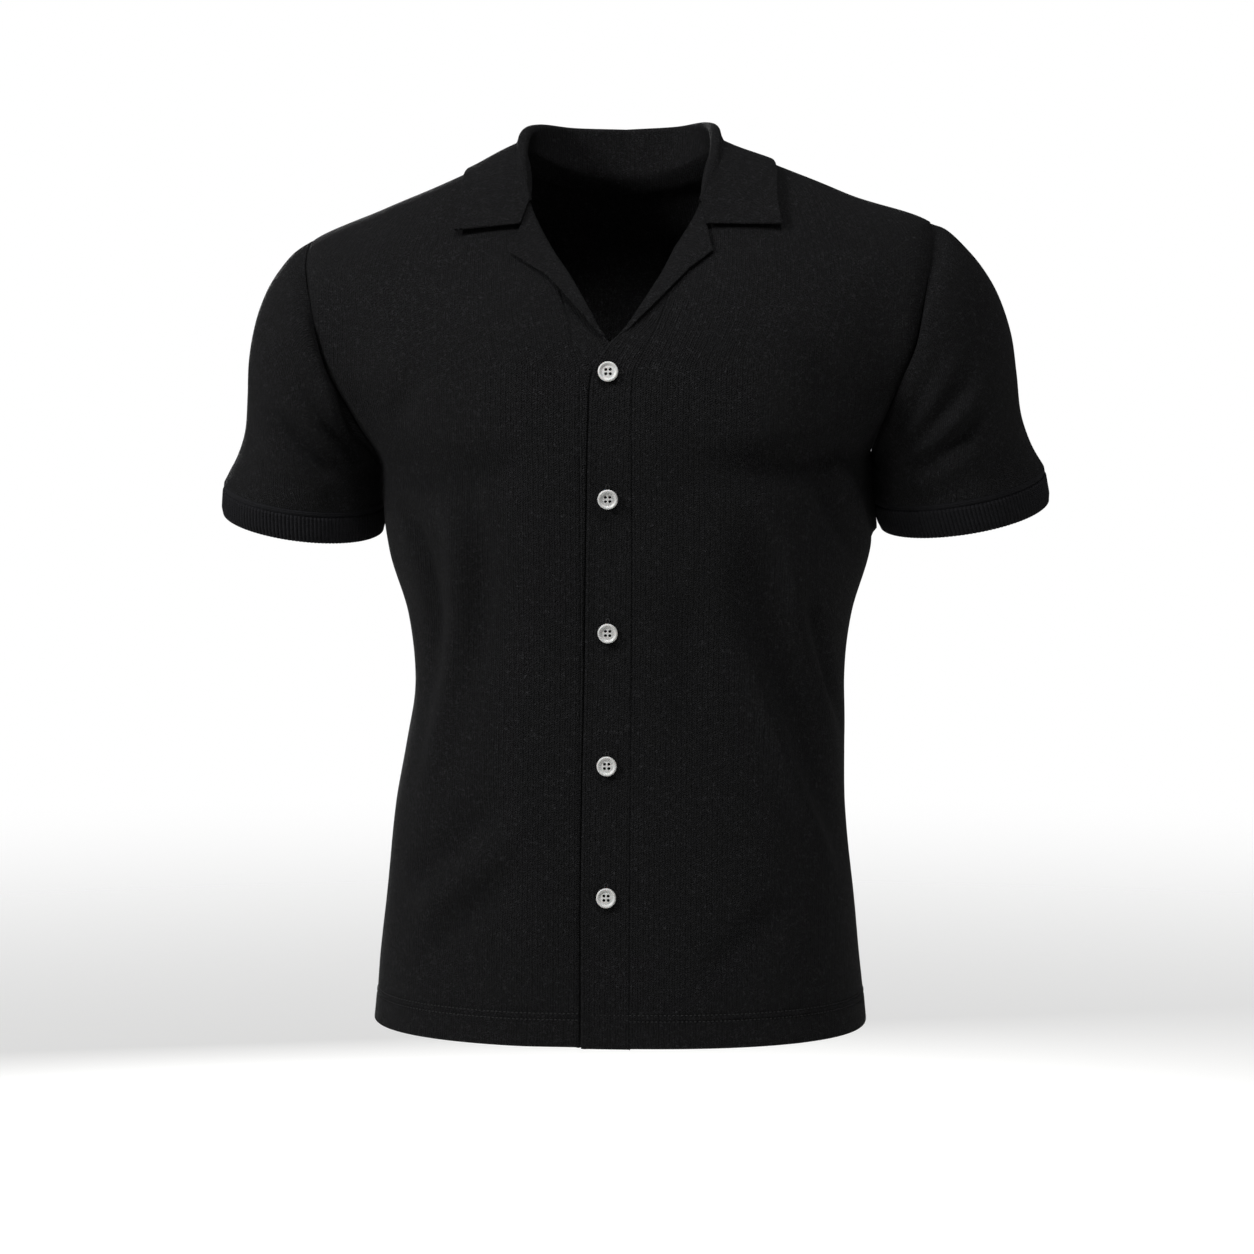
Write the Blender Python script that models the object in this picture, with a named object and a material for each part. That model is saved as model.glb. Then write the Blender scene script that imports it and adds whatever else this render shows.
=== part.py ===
"""Knit polo cardigan, short sleeves, worn shape. Metres, +Z up, the front faces -Y.
The origin is midway between the shoulder neck points. Left and right are the wearer's: left is +X."""

import math

import bpy
from mathutils import Matrix, Vector

for obj in list(bpy.data.objects):
    bpy.data.objects.remove(obj)

# The cloth
CLOTH = 0.0016  # wall of one knitted layer
SEAM = 0.00025  # each piece stops this far short of its seam line
LAYER = 0.0004  # air between two layers that lie on each other
HEM_DEPTH = 0.023
HEM_EXTRA = 0.0011  # the turned-up hem adds this inside
RIB_WALL = 0.0022  # the rib cuff is thicker than the sleeve

# The body of the garment as rings round the wearer, from the hem to the neck:
# side height, half width, front depth, back depth, how far the ring dips in front and behind, squareness
RINGS = [
    (-0.662, 0.1860, 0.119, 0.114, 0.000, 0.000, 2.35),
    (-0.600, 0.1795, 0.117, 0.113, 0.000, 0.000, 2.35),
    (-0.500, 0.1690, 0.111, 0.098, 0.000, 0.000, 2.35),
    (-0.440, 0.1640, 0.108, 0.091, 0.000, 0.000, 2.30),
    (-0.400, 0.1605, 0.108, 0.090, 0.000, 0.000, 2.30),
    (-0.350, 0.1660, 0.112, 0.094, 0.000, 0.000, 2.30),
    (-0.300, 0.1800, 0.121, 0.102, 0.000, 0.000, 2.25),
    (-0.235, 0.1830, 0.133, 0.112, 0.006, 0.002, 2.20),
    (-0.200, 0.2050, 0.136, 0.116, 0.017, 0.007, 2.20),
    (-0.150, 0.2335, 0.135, 0.119, 0.037, 0.015, 2.15),
    (-0.100, 0.2385, 0.131, 0.117, 0.060, 0.024, 2.10),
    (-0.067, 0.2290, 0.123, 0.112, 0.073, 0.029, 2.05),
    (-0.044, 0.1710, 0.111, 0.101, 0.076, 0.028, 2.00),
    (-0.020, 0.1125, 0.087, 0.083, 0.078, 0.023, 2.00),
    (0.000, 0.0670, 0.060, 0.062, 0.080, 0.018, 2.00),
]
HEM = -0.6555
ARMPIT = -0.235
TIP = -0.067  # the end of the shoulder seam
NECK = -0.003
ARMHOLE_FRONT = 0.058  # half openings of the armhole, forward and back of the side
ARMHOLE_BACK = 0.062

# Lines on the front, as (height, distance from the centre)
FOLD_LINE = [(-0.1495, 0.0000), (-0.1395, 0.0090), (-0.1270, 0.0168), (-0.1060, 0.0277), (-0.0835, 0.0400),
             (-0.0606, 0.0535), (-0.0480, 0.0600), (-0.0200, 0.0655), (0.0000, 0.0670)]
SEAM_LINE = [(-0.1800, 0.0168), (-0.1692, 0.0178), (-0.1548, 0.0245), (-0.1440, 0.0290), (-0.1110, 0.0400),
             (-0.0750, 0.0530), (-0.0480, 0.0665), (-0.0200, 0.0715), (0.0000, 0.0725)]
FREE_EDGE = [(-0.6570, -0.0172), (-0.5500, -0.0176), (-0.4270, -0.0163), (-0.3000, -0.0148), (-0.2065, -0.0124),
             (-0.1742, -0.0111), (-0.1659, -0.0088), (-0.1569, -0.0042)]
LAPEL_EDGE = [(-0.1475, 0.0020), (-0.1420, 0.0060), (-0.1240, 0.0208), (-0.1020, 0.0448), (-0.0900, 0.0605),
              (-0.0810, 0.0745)]

# Sleeve, as lines from the armhole to the top of the cuff: over the outside, front, underarm, back
OUTSIDE = [(0.2420, 0.000, -0.074), (0.2550, 0.001, -0.087), (0.2650, 0.002, -0.101), (0.2745, 0.004, -0.121),
           (0.2820, 0.006, -0.148), (0.2855, 0.009, -0.176), (0.2895, 0.012, -0.206), (0.2975, 0.015, -0.228)]
FRONTMOST = [(0.222, -0.068, -0.158), (0.236, -0.072, -0.180), (0.244, -0.070, -0.215)]
UNDERARM = [(0.1835, 0.003, -0.245)]
BACKMOST = [(0.222, 0.072, -0.156), (0.238, 0.078, -0.178), (0.247, 0.081, -0.215)]
CUFF_CENTRE = (0.2490, 0.012, -0.279)
CUFF_OUT = (0.0620, 0.000, 0.0095)  # from the centre of the cuff's edge to its outermost point
CUFF_FORWARD = (0.000, -0.066, -0.0120)
CUFF_DEPTH = 0.024

# Pose of the wearer: the left shoulder higher, the left side wider
SHOULDER_TILT = 0.0255
SWAY = [(-0.660, 0.004), (-0.490, 0.008), (-0.450, 0.022), (-0.410, 0.043), (-0.360, 0.048), (-0.300, 0.045),
        (-0.270, 0.030), (-0.180, 0.024), (-0.120, 0.014), (-0.060, 0.000), (0.030, 0.000)]
LEAN = [(-0.460, 0.0000), (-0.360, 0.0010), (-0.260, 0.0025), (-0.160, 0.0035), (-0.100, 0.0022), (-0.020, 0.0030),
        (0.030, 0.0030)]  # the button line and the collar drift towards the left

# Collar, from the centre back to its front end
COLLAR_ROLL = [(0.000, 0.0700, 0.0130), (0.038, 0.0595, 0.0150), (0.0615, 0.0290, 0.0175), (0.0690, -0.002, 0.0095),
               (0.0690, -0.030, -0.0130), (0.0640, -0.0530, -0.0390)]
COLLAR_FOOT = [(0.000, 0.0630, -0.0190), (0.0345, 0.0545, -0.0150), (0.0585, 0.0330, -0.0070), (0.0700, 0.002, -0.0005),
               (0.0690, -0.030, -0.0175), (0.0655, -0.0485, -0.0430)]
COLLAR_EDGE = [(-0.0135, -90.0), (-0.0145, -62.0), (-0.0180, -30.0), (-0.0213, 2.0), (-0.0300, 26.5),
               (-0.0380, 38.3)]  # as (ring, degrees from the side)
COLLAR_FOLD = 0.0032  # radius of the fold
COLLAR_CLEAR = 0.0021  # air under the fall where it rests
COLLAR_SAG = 0.0022  # how far the fall settles between its fold and its edge
NOTCH = (-0.009, -0.0085, -0.0175)  # how far the collar's front end is cut back at the notch

# Buttons
BUTTON_HEIGHTS = (-0.1703, -0.2599, -0.3565, -0.4528, -0.5477)
BUTTON_SIDES = 32
BUTTON_PROFILE = [(0.0052, 0.0000), (0.0068, 0.0007), (0.0072, 0.0015), (0.0070, 0.0024), (0.0063, 0.0028),
                  (0.0056, 0.0026), (0.0049, 0.0019)]  # as (radius, rise), back to front
BUTTON_HOLE = 0.00085
BUTTON_HOLE_AT = 0.00165


def smooth(low, high, value):
    step = min(1.0, max(0.0, (value - low) / (high - low)))
    return step * step * (3.0 - 2.0 * step)


def along(keys, where):
    """Smooth curve through keys whose first numbers rise; gives the other numbers at `where`."""
    last = len(keys) - 1
    i = 0
    while i < last - 1 and where > keys[i + 1][0]:
        i += 1
    a, b = keys[i], keys[i + 1]
    span = b[0] - a[0]
    t = min(1.0, max(0.0, (where - a[0]) / span))
    out = []
    for k in range(1, len(a)):
        rise = (b[k] - a[k]) / span
        before = (a[k] - keys[i - 1][k]) / (a[0] - keys[i - 1][0]) if i > 0 else rise
        after = (keys[i + 2][k] - b[k]) / (keys[i + 2][0] - b[0]) if i + 2 <= last else rise
        start = 0.5 * (rise + before) if rise * before > 0.0 else 0.0
        end = 0.5 * (rise + after) if rise * after > 0.0 else 0.0
        if abs(start) > 3.0 * abs(rise):
            start = 3.0 * rise
        if abs(end) > 3.0 * abs(rise):
            end = 3.0 * rise
        s = t * t * (3.0 - 2.0 * t)
        out.append(a[k] + (b[k] - a[k]) * s + span * (start * t * (1 - t) ** 2 - end * t * t * (1 - t)))
    return out


def path(points, t):
    """Point at t from 0 to 1 on a smooth curve through 3-D points, spaced by their distances."""
    at = [0.0]
    for p, q in zip(points, points[1:]):
        at.append(at[-1] + (Vector(q) - Vector(p)).length)
    where = t * at[-1]
    i = 0
    while i < len(points) - 2 and where > at[i + 1]:
        i += 1
    span = at[i + 1] - at[i]
    s = (where - at[i]) / span
    p, q = Vector(points[i]), Vector(points[i + 1])
    before = Vector(points[i - 1]) if i else p - (q - p)
    after = Vector(points[i + 2]) if i + 2 < len(points) else q + (q - p)
    gap_before = (at[i] - at[i - 1]) if i else span
    gap_after = (at[i + 2] - at[i + 1]) if i + 2 < len(points) else span
    start = (q - before) / (span + gap_before) * span
    end = (after - p) / (span + gap_after) * span
    h = (2 * s**3 - 3 * s**2 + 1, s**3 - 2 * s**2 + s, -2 * s**3 + 3 * s**2, s**3 - s**2)
    return p * h[0] + start * h[1] + q * h[2] + end * h[3]


def ring(level, angle):
    """Point on the garment's body at a ring and an angle: 0 the left side, 90 degrees the centre front."""
    width, front, back, front_dip, back_dip, square = along(RINGS, level)
    c, s = math.cos(angle), math.sin(angle)
    r = (abs(c) ** square + abs(s) ** square) ** (-1.0 / square)
    depth, dip = (front, front_dip) if s > 0.0 else (back, back_dip)
    return Vector((width * c * r, -depth * s * r, level - dip * (s * r) ** 2))


def body(level, angle, out=0.0):
    point = ring(level, angle)
    if out:
        across = ring(level, angle + 0.004) - ring(level, angle - 0.004)
        up = ring(min(level + 0.001, 0.0), angle) - ring(min(level + 0.001, 0.0) - 0.002, angle)
        point += up.cross(across).normalized() * out
    return point


def settle(point):
    """The wearer's pose, on every piece alike."""
    x, y, z = point
    sway = along(SWAY, max(-0.66, min(0.03, z)))[0]
    lean = along(LEAN, max(-0.46, min(0.03, z)))[0] * smooth(-0.04, 0.05, -y) * (1.0 - smooth(0.10, 0.20, abs(x)))
    tilt = SHOULDER_TILT * smooth(-0.50, -0.10, z)
    return Vector((x * (1.0 + sway * math.tanh(x / 0.05)) + lean, y, z + tilt * x))


def meet(level, line, low=0.02, high=3.1):
    """Angle where a ring crosses a line drawn on the front."""
    for _ in range(40):
        mid = 0.5 * (low + high)
        p = ring(level, mid)
        if p.x > along(line, max(line[0][0], min(0.0, p.z)))[0]:
            low = mid
        else:
            high = mid
    return 0.5 * (low + high)


def on_front(x, z, out=0.0):
    """Point of the front at a distance from the centre and a height."""
    low, high = HEM - 0.007, 0.0
    for _ in range(40):
        mid = 0.5 * (low + high)
        width, _, _, dip, _, square = along(RINGS, mid)
        c = min(1.0, abs(x) / width)
        s = (1.0 - c**square) ** (1.0 / square)
        if mid - dip * s * s < z:
            low = mid
        else:
            high = mid
    angle = math.atan2(s, math.copysign(c, x))
    return body(low, angle, out)


def armhole(turn):
    """(ring, angle) on the armhole seam: turn 0 at the shoulder tip, pi at the armpit, positive in front."""
    level = 0.5 * (TIP + ARMPIT) + 0.5 * (TIP - ARMPIT) * math.cos(turn)
    _, front, back, _, _, square = along(RINGS, level)
    reach = ARMHOLE_FRONT / front if turn > 0 else ARMHOLE_BACK / back
    s = reach * abs(math.sin(turn))
    angle = math.atan2(s, (1.0 - s**square) ** (1.0 / square))
    return level, angle if turn > 0 else -angle


HEM_LEVELS = [HEM, HEM + 0.5 * HEM_DEPTH, HEM + HEM_DEPTH - 0.0008, HEM + HEM_DEPTH + 0.0008]
LOW_LEVELS = [-0.600, -0.565, -0.530, -0.495, -0.460, -0.425, -0.390, -0.355, -0.320, -0.290, -0.262]
ARM_TURNS = [math.pi * (1.0 - k / 10.0) for k in range(11)]
HIGH_LEVELS = [-0.058, -0.049, -0.040, -0.032, -0.025, -0.019, -0.013, -0.008, NECK]


def levels():
    return HEM_LEVELS + LOW_LEVELS + [armhole(t)[0] for t in ARM_TURNS] + HIGH_LEVELS


def outer_end(level, front):
    """Angle of the side seam, the armhole or the shoulder seam at a ring."""
    inset = SEAM / along(RINGS, level)[1 if front else 2]
    if ARMPIT - 1e-6 <= level <= TIP + 1e-6:
        turn = math.acos(max(-1.0, min(1.0, (2 * level - TIP - ARMPIT) / (TIP - ARMPIT))))
        angle = armhole(turn if front else -turn)[1]
        across = SEAM / (ring(level, angle + 0.5) - ring(level, angle - 0.5)).length
        return angle + (across + inset if front else -across - inset)
    return inset if front else -inset


def wall(name, grid, thick, material, loop=False, flip=False, hem_rows=0):
    """One cloth piece: a sheet on a grid of points of its outer face, thickened inwards. `flip` turns the face."""
    rows, cols = len(grid), len(grid[0])
    faces = []
    for i in range(rows - 1):
        for j in range(cols if loop else cols - 1):
            a, b = i * cols + j, i * cols + (j + 1) % cols
            faces.append((a, b, b + cols, a + cols) if flip else (a + cols, b + cols, b, a))
    mesh = bpy.data.meshes.new(name)
    mesh.from_pydata([settle(p) for row in grid for p in row], [], faces)
    mesh.materials.append(material)
    mesh.shade_smooth()
    obj = bpy.data.objects.new(name, mesh)
    bpy.context.scene.collection.objects.link(obj)
    solidify = obj.modifiers.new("cloth", "SOLIDIFY")
    solidify.thickness, solidify.offset = thick, -1.0
    if hem_rows:
        solidify.thickness = thick + HEM_EXTRA
        group = obj.vertex_groups.new(name="turned_hem")
        group.add(range(hem_rows * cols), 1.0, "REPLACE")
        group.add(range(hem_rows * cols, rows * cols), thick / (thick + HEM_EXTRA), "REPLACE")
        solidify.vertex_group = group.name
    return obj


def plain(name, colour, rough):
    material = bpy.data.materials.new(name)
    material.use_nodes = True
    shader = material.node_tree.nodes["Principled BSDF"]
    shader.inputs["Base Color"].default_value = (*colour, 1.0)
    shader.inputs["Roughness"].default_value = rough
    return material


def knit_material(name):
    return plain(name, (0.012, 0.012, 0.013), 0.9)


def rib_material(name):
    return plain(name, (0.010, 0.010, 0.011), 0.92)


def button_material(name):
    return plain(name, (0.68, 0.68, 0.67), 0.35)


def tucked(point, level):
    """The right front lies one layer deeper near the centre, under the left band."""
    return (CLOTH + LAYER) * (1.0 - smooth(0.022, 0.070, abs(point.x))) * (1.0 - smooth(-0.118, -0.098, level))


def mirrored(grid):
    return [[Vector((-p.x, p.y, p.z)) for p in row] for row in grid]


def front_grid(under):
    grid = []
    for level in levels():
        outer, inner = outer_end(level, True), meet(level, SEAM_LINE)
        inner -= 2.0 * SEAM / along(RINGS, level)[0]
        row = []
        for j in range(9):
            angle = inner * j / 8.0 + outer * (1.0 - j / 8.0) ** 2
            point = ring(level, angle)
            row.append(body(level, angle, -tucked(point, point.z)) if under else point)
        grid.append(row)
    return grid


def make_fronts():
    left, right = front_grid(False), mirrored(front_grid(True))
    wall("front_left", left, CLOTH, knit_material("knit_front_left"), hem_rows=3)
    wall("front_right", right, CLOTH, knit_material("knit_front_right"), flip=True, hem_rows=3)


def make_back():
    grid = []
    for level in levels():
        end, row = outer_end(level, False), []
        for j in range(19):
            shift = end * (max(0.0, 1.0 - j / 9.0) ** 2 - max(0.0, 1.0 - (18 - j) / 9.0) ** 2)
            row.append(ring(level, -math.pi * j / 18.0 + shift))
        grid.append(row)
    wall("back", grid, CLOTH, knit_material("knit_back"), flip=True, hem_rows=3)


def band_grid(edge, under):
    grid = []
    heights = [HEM - 0.001, -0.632, -0.604, -0.580]
    for low, high in zip(BUTTON_HEIGHTS[:0:-1], BUTTON_HEIGHTS[-2::-1]):
        heights += [low - 0.009, low + 0.009, low + 0.36 * (high - low), low + 0.64 * (high - low)]
    heights += [-0.180, -0.170, -0.162, -0.154, -0.148, -0.139, -0.129, -0.118, -0.105, -0.092, -0.080, -0.070, -0.062]
    for z in heights:
        seam = along(SEAM_LINE, max(z, SEAM_LINE[0][0]))[0] - SEAM
        free = along(edge, z)[0]
        deep = (CLOTH + LAYER) * (1.0 - smooth(-0.118, -0.098, z)) if under else 0.0
        grid.append([on_front(seam + (free - seam) * j / 4.0, z, -deep) for j in range(5)])
    return grid


def make_bands():
    wall("band_left", band_grid(FREE_EDGE + FOLD_LINE, False), CLOTH, knit_material("knit_band_left"))
    under = [(-0.6570, -0.0150), (-0.1900, -0.0150), (-0.1650, -0.0090)]
    wall("band_right", mirrored(band_grid(under + FOLD_LINE, True)), CLOTH, knit_material("knit_band_right"), flip=True)


def lapel_grid():
    grid = []
    for i in range(11):
        t = i / 10.0
        low = -0.144 + (-0.0455 + 0.144) * t
        fold_x = along(FOLD_LINE, low)[0]
        high = -0.144 + (-0.081 + 0.144) * t
        edge_x = along(LAPEL_EDGE, high)[0]
        row = []
        for j in range(5):
            w = j / 4.0
            lift = CLOTH + LAYER + 0.0012 * math.sin(math.pi * min(1.0, 0.5 * w + 0.1)) * smooth(0.0, 0.3, t)
            row.append(on_front(fold_x + (edge_x - fold_x) * w, low + (high - low) * w, lift))
        grid.append(row)
    return grid


def make_lapels():
    wall("lapel_left", lapel_grid(), CLOTH, knit_material("knit_lapel_left"), flip=True)
    wall("lapel_right", mirrored(lapel_grid()), CLOTH, knit_material("knit_lapel_right"))


def collar_section(t):
    """Points of the collar from its foot at the neck seam, over the fold, down to its outer edge."""
    roll, foot = path(COLLAR_ROLL, t), path(COLLAR_FOOT, t)
    keys = [(k / (len(COLLAR_EDGE) - 1.0), *pair) for k, pair in enumerate(COLLAR_EDGE)]
    level, degrees = along(keys, t)
    edge = body(level, math.radians(degrees), CLOTH + LAYER + COLLAR_CLEAR)
    up = (body(level, math.radians(degrees), 0.01) - body(level, math.radians(degrees))).normalized()
    up = (up + Vector((0, 0, 0.6 * (1.0 - smooth(0.5, 1.0, t))))).normalized()
    out = (edge - roll) - up * (edge - roll).dot(up)
    out.normalize()
    centre = roll - up * COLLAR_FOLD
    section = [foot, foot.lerp(centre - out * COLLAR_FOLD, 0.55)]
    for degrees in (180, 135, 90, 50):
        a = math.radians(degrees)
        section.append(centre + (out * math.cos(a) + up * math.sin(a)) * COLLAR_FOLD)
    start = section[-1]
    for j in range(1, 5):
        w = j / 4.0
        cut = smooth(0.80, 1.0, t) * (1.0 - w) / 0.75
        point = start.lerp(edge, w) - up * COLLAR_SAG * math.sin(math.pi * w**1.4) + Vector(NOTCH) * cut
        if t > 0.6:
            point.y = min(point.y, on_front(point.x, point.z, CLOTH + LAYER + COLLAR_CLEAR).y)
        section.append(point)
    return section


def make_collar():
    half = [collar_section(k / 13.0) for k in range(14)]
    grid = mirrored(half[:0:-1]) + half
    wall("collar", grid, CLOTH, knit_material("knit_collar"))


def sleeve_rings():
    """Rings from the armhole to the cuff's top, then the cuff's own two rings."""
    count = len(ARM_TURNS) - 1
    turns = [math.pi * k / count for k in range(2 * count)]
    seam = []
    for turn in turns:
        signed = turn if turn <= math.pi else turn - 2 * math.pi
        if signed == 0.0:
            signed = 1e-9
        level, angle = armhole(signed)
        seam.append(ring(level, angle))
    centre, out, forward = Vector(CUFF_CENTRE), Vector(CUFF_OUT), Vector(CUFF_FORWARD)
    axis = forward.cross(out).normalized()
    if axis.z < 0:
        axis = -axis
    top = centre + axis * CUFF_DEPTH
    quarter = count // 2
    lines = [
        [seam[0], *map(Vector, OUTSIDE), top + out],
        [seam[quarter], *map(Vector, FRONTMOST), top + forward],
        [seam[count], *map(Vector, UNDERARM), top - out],
        [seam[count + quarter], *map(Vector, BACKMOST), top - forward],
    ]

    def square(t, turn):
        a, b, c, d = (path(line, t) for line in lines)
        k, s = math.cos(turn), math.sin(turn)
        return (a + c) * 0.5 * k * k + (b + d) * 0.5 * s * s + (a - c) * 0.5 * k + (b - d) * 0.5 * s

    sleeve = []
    for t in (0.004, 0.08, 0.17, 0.28, 0.40, 0.53, 0.67, 0.82, 0.996):
        fade = (1.0 - t) ** 2
        sleeve.append([square(t, turn) + (seam[i] - square(0.0, turn)) * fade for i, turn in enumerate(turns)])
    cuff = []
    for t in (0.010, 0.5, 1.0):
        base = top - axis * CUFF_DEPTH * t
        cuff.append([base + out * math.cos(turn) + forward * math.sin(turn) for turn in turns])
    return sleeve, cuff


def make_sleeves():
    sleeve, cuff = sleeve_rings()
    wall("sleeve_left", sleeve, CLOTH, knit_material("knit_sleeve_left"), loop=True, flip=True)
    wall("sleeve_right", mirrored(sleeve), CLOTH, knit_material("knit_sleeve_right"), loop=True)
    wall("cuff_left", cuff, RIB_WALL, rib_material("rib_cuff_left"), loop=True, flip=True)
    wall("cuff_right", mirrored(cuff), RIB_WALL, rib_material("rib_cuff_right"), loop=True)


def cylinder(mesh_points, faces, x, y, radius, low, high, around):
    first = len(mesh_points)
    for z in (low, high):
        for k in range(around):
            turn = 2.0 * math.pi * k / around
            mesh_points.append((x + radius * math.cos(turn), y + radius * math.sin(turn), z))
    faces.append(tuple(range(first, first + around))[::-1])
    faces.append(tuple(range(first + around, first + 2 * around)))
    for k in range(around):
        a, b = first + k, first + (k + 1) % around
        faces.append((a, b, b + around, a + around))


def link_mesh(name, points, faces):
    mesh = bpy.data.meshes.new(name)
    mesh.from_pydata(points, [], faces)
    obj = bpy.data.objects.new(name, mesh)
    bpy.context.scene.collection.objects.link(obj)
    return obj


def button_place(height):
    """Where a button lies: its flat back a layer's gap above the upper band, its axis along the cloth's normal."""
    foot = settle(on_front(0.0, height))
    side = (settle(on_front(0.006, height)) - settle(on_front(-0.006, height))).normalized()
    up = (settle(on_front(0.0, height + 0.006)) - settle(on_front(0.0, height - 0.006))).normalized()
    out = side.cross(up).normalized()
    return Matrix.Translation(foot + out * LAYER) @ Matrix((side, out.cross(side), out)).transposed().to_4x4()


def make_button(number, height):
    """A turned button with a raised rim and four through holes."""
    points, faces = [], []
    for radius, rise in BUTTON_PROFILE:
        points += [(radius * math.cos(2 * math.pi * k / BUTTON_SIDES), radius * math.sin(2 * math.pi * k / BUTTON_SIDES),
                    rise) for k in range(BUTTON_SIDES)]
    for i in range(len(BUTTON_PROFILE) - 1):
        for k in range(BUTTON_SIDES):
            a, b = i * BUTTON_SIDES + k, i * BUTTON_SIDES + (k + 1) % BUTTON_SIDES
            faces.append((a, b, b + BUTTON_SIDES, a + BUTTON_SIDES))
    faces.append(tuple(range(BUTTON_SIDES))[::-1])
    faces.append(tuple(range(len(points) - BUTTON_SIDES, len(points))))
    button = link_mesh(f"button_{number}", points, faces)
    button.data.materials.append(button_material(f"moulded_button_{number}"))
    points, faces = [], []
    for k in range(4):
        turn = math.pi * (0.25 + 0.5 * k)
        cylinder(points, faces, BUTTON_HOLE_AT * math.cos(turn), BUTTON_HOLE_AT * math.sin(turn), BUTTON_HOLE,
                 -0.001, 0.004, 12)
    holes = link_mesh(f"holes_{number}", points, faces)
    holes.hide_render, holes.display_type, holes.parent = True, "WIRE", button
    cut = button.modifiers.new("holes", "BOOLEAN")
    cut.operation, cut.object = "DIFFERENCE", holes
    button.matrix_world = button_place(height)


make_fronts()
make_back()
make_bands()
make_lapels()
make_collar()
make_sleeves()
for count, button_height in enumerate(BUTTON_HEIGHTS, 1):
    make_button(count, button_height)
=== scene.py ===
# Knit polo cardigan with short sleeves, in its worn shape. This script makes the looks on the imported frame.
# Left and right are the wearer's: left is +X. The front faces -Y. All sizes are in metres.
import math
import bpy
import numpy as np
from mathutils import Matrix, Vector


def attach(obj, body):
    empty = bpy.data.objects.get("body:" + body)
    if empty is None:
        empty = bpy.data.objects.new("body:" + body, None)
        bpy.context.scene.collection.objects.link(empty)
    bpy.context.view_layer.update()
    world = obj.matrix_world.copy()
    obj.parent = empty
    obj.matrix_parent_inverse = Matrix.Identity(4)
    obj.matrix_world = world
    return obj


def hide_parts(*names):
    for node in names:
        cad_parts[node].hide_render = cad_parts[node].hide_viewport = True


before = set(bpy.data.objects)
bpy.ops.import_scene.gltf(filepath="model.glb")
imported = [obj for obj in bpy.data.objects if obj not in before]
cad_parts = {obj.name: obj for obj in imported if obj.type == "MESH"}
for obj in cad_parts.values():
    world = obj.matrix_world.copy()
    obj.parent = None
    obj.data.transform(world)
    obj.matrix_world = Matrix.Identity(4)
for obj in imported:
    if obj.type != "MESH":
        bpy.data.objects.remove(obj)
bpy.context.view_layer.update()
print("frame:", len(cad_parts), "nodes")

# The form of the garment, the same sizes as the CAD
form = {
    # side height, half width, front depth, back depth, dip in front, dip behind, squareness
    "rings": [
        (-0.662, 0.1860, 0.119, 0.114, 0.000, 0.000, 2.35), (-0.600, 0.1795, 0.117, 0.113, 0.000, 0.000, 2.35),
        (-0.500, 0.1690, 0.111, 0.098, 0.000, 0.000, 2.35), (-0.440, 0.1640, 0.108, 0.091, 0.000, 0.000, 2.30),
        (-0.400, 0.1605, 0.108, 0.090, 0.000, 0.000, 2.30), (-0.350, 0.1660, 0.112, 0.094, 0.000, 0.000, 2.30),
        (-0.300, 0.1800, 0.121, 0.102, 0.000, 0.000, 2.25), (-0.235, 0.1830, 0.133, 0.112, 0.006, 0.002, 2.20),
        (-0.200, 0.2050, 0.136, 0.116, 0.017, 0.007, 2.20), (-0.150, 0.2335, 0.135, 0.119, 0.037, 0.015, 2.15),
        (-0.100, 0.2385, 0.131, 0.117, 0.060, 0.024, 2.10), (-0.067, 0.2290, 0.123, 0.112, 0.073, 0.029, 2.05),
        (-0.044, 0.1710, 0.111, 0.101, 0.076, 0.028, 2.00), (-0.020, 0.1125, 0.087, 0.083, 0.078, 0.023, 2.00),
        (0.000, 0.0670, 0.060, 0.062, 0.080, 0.018, 2.00),
    ],
    "hem": -0.6555, "armpit": -0.235, "tip": -0.067, "neck": -0.003,
    "armholeFront": 0.058, "armholeBack": 0.062,
    "tilt": 0.0255,  # the left shoulder is the higher one
    "sway": [(-0.660, 0.004), (-0.490, 0.008), (-0.450, 0.022), (-0.410, 0.043), (-0.360, 0.048), (-0.300, 0.045),
             (-0.270, 0.030), (-0.180, 0.024), (-0.120, 0.014), (-0.060, 0.000), (0.030, 0.000)],
    "lean": [(-0.460, 0.0000), (-0.360, 0.0010), (-0.260, 0.0025), (-0.160, 0.0035), (-0.125, 0.0058),
             (-0.100, 0.0052), (-0.082, 0.0028), (-0.060, 0.0026), (-0.045, 0.0020), (0.030, 0.0018)],
}
cloth = {
    "thick": 0.0014,  # one layer of jersey
    "layer": 0.0020,  # from one layer's face to the next one's
    "tuck": 0.0034,  # the right front lies this deep under the left band
    "seamGap": 0.00003,  # between the two panels of a seam
    "seamRoll": 0.0008,  # how round the cloth turns into a seam
    "allowance": 0.0045,
}
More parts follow.
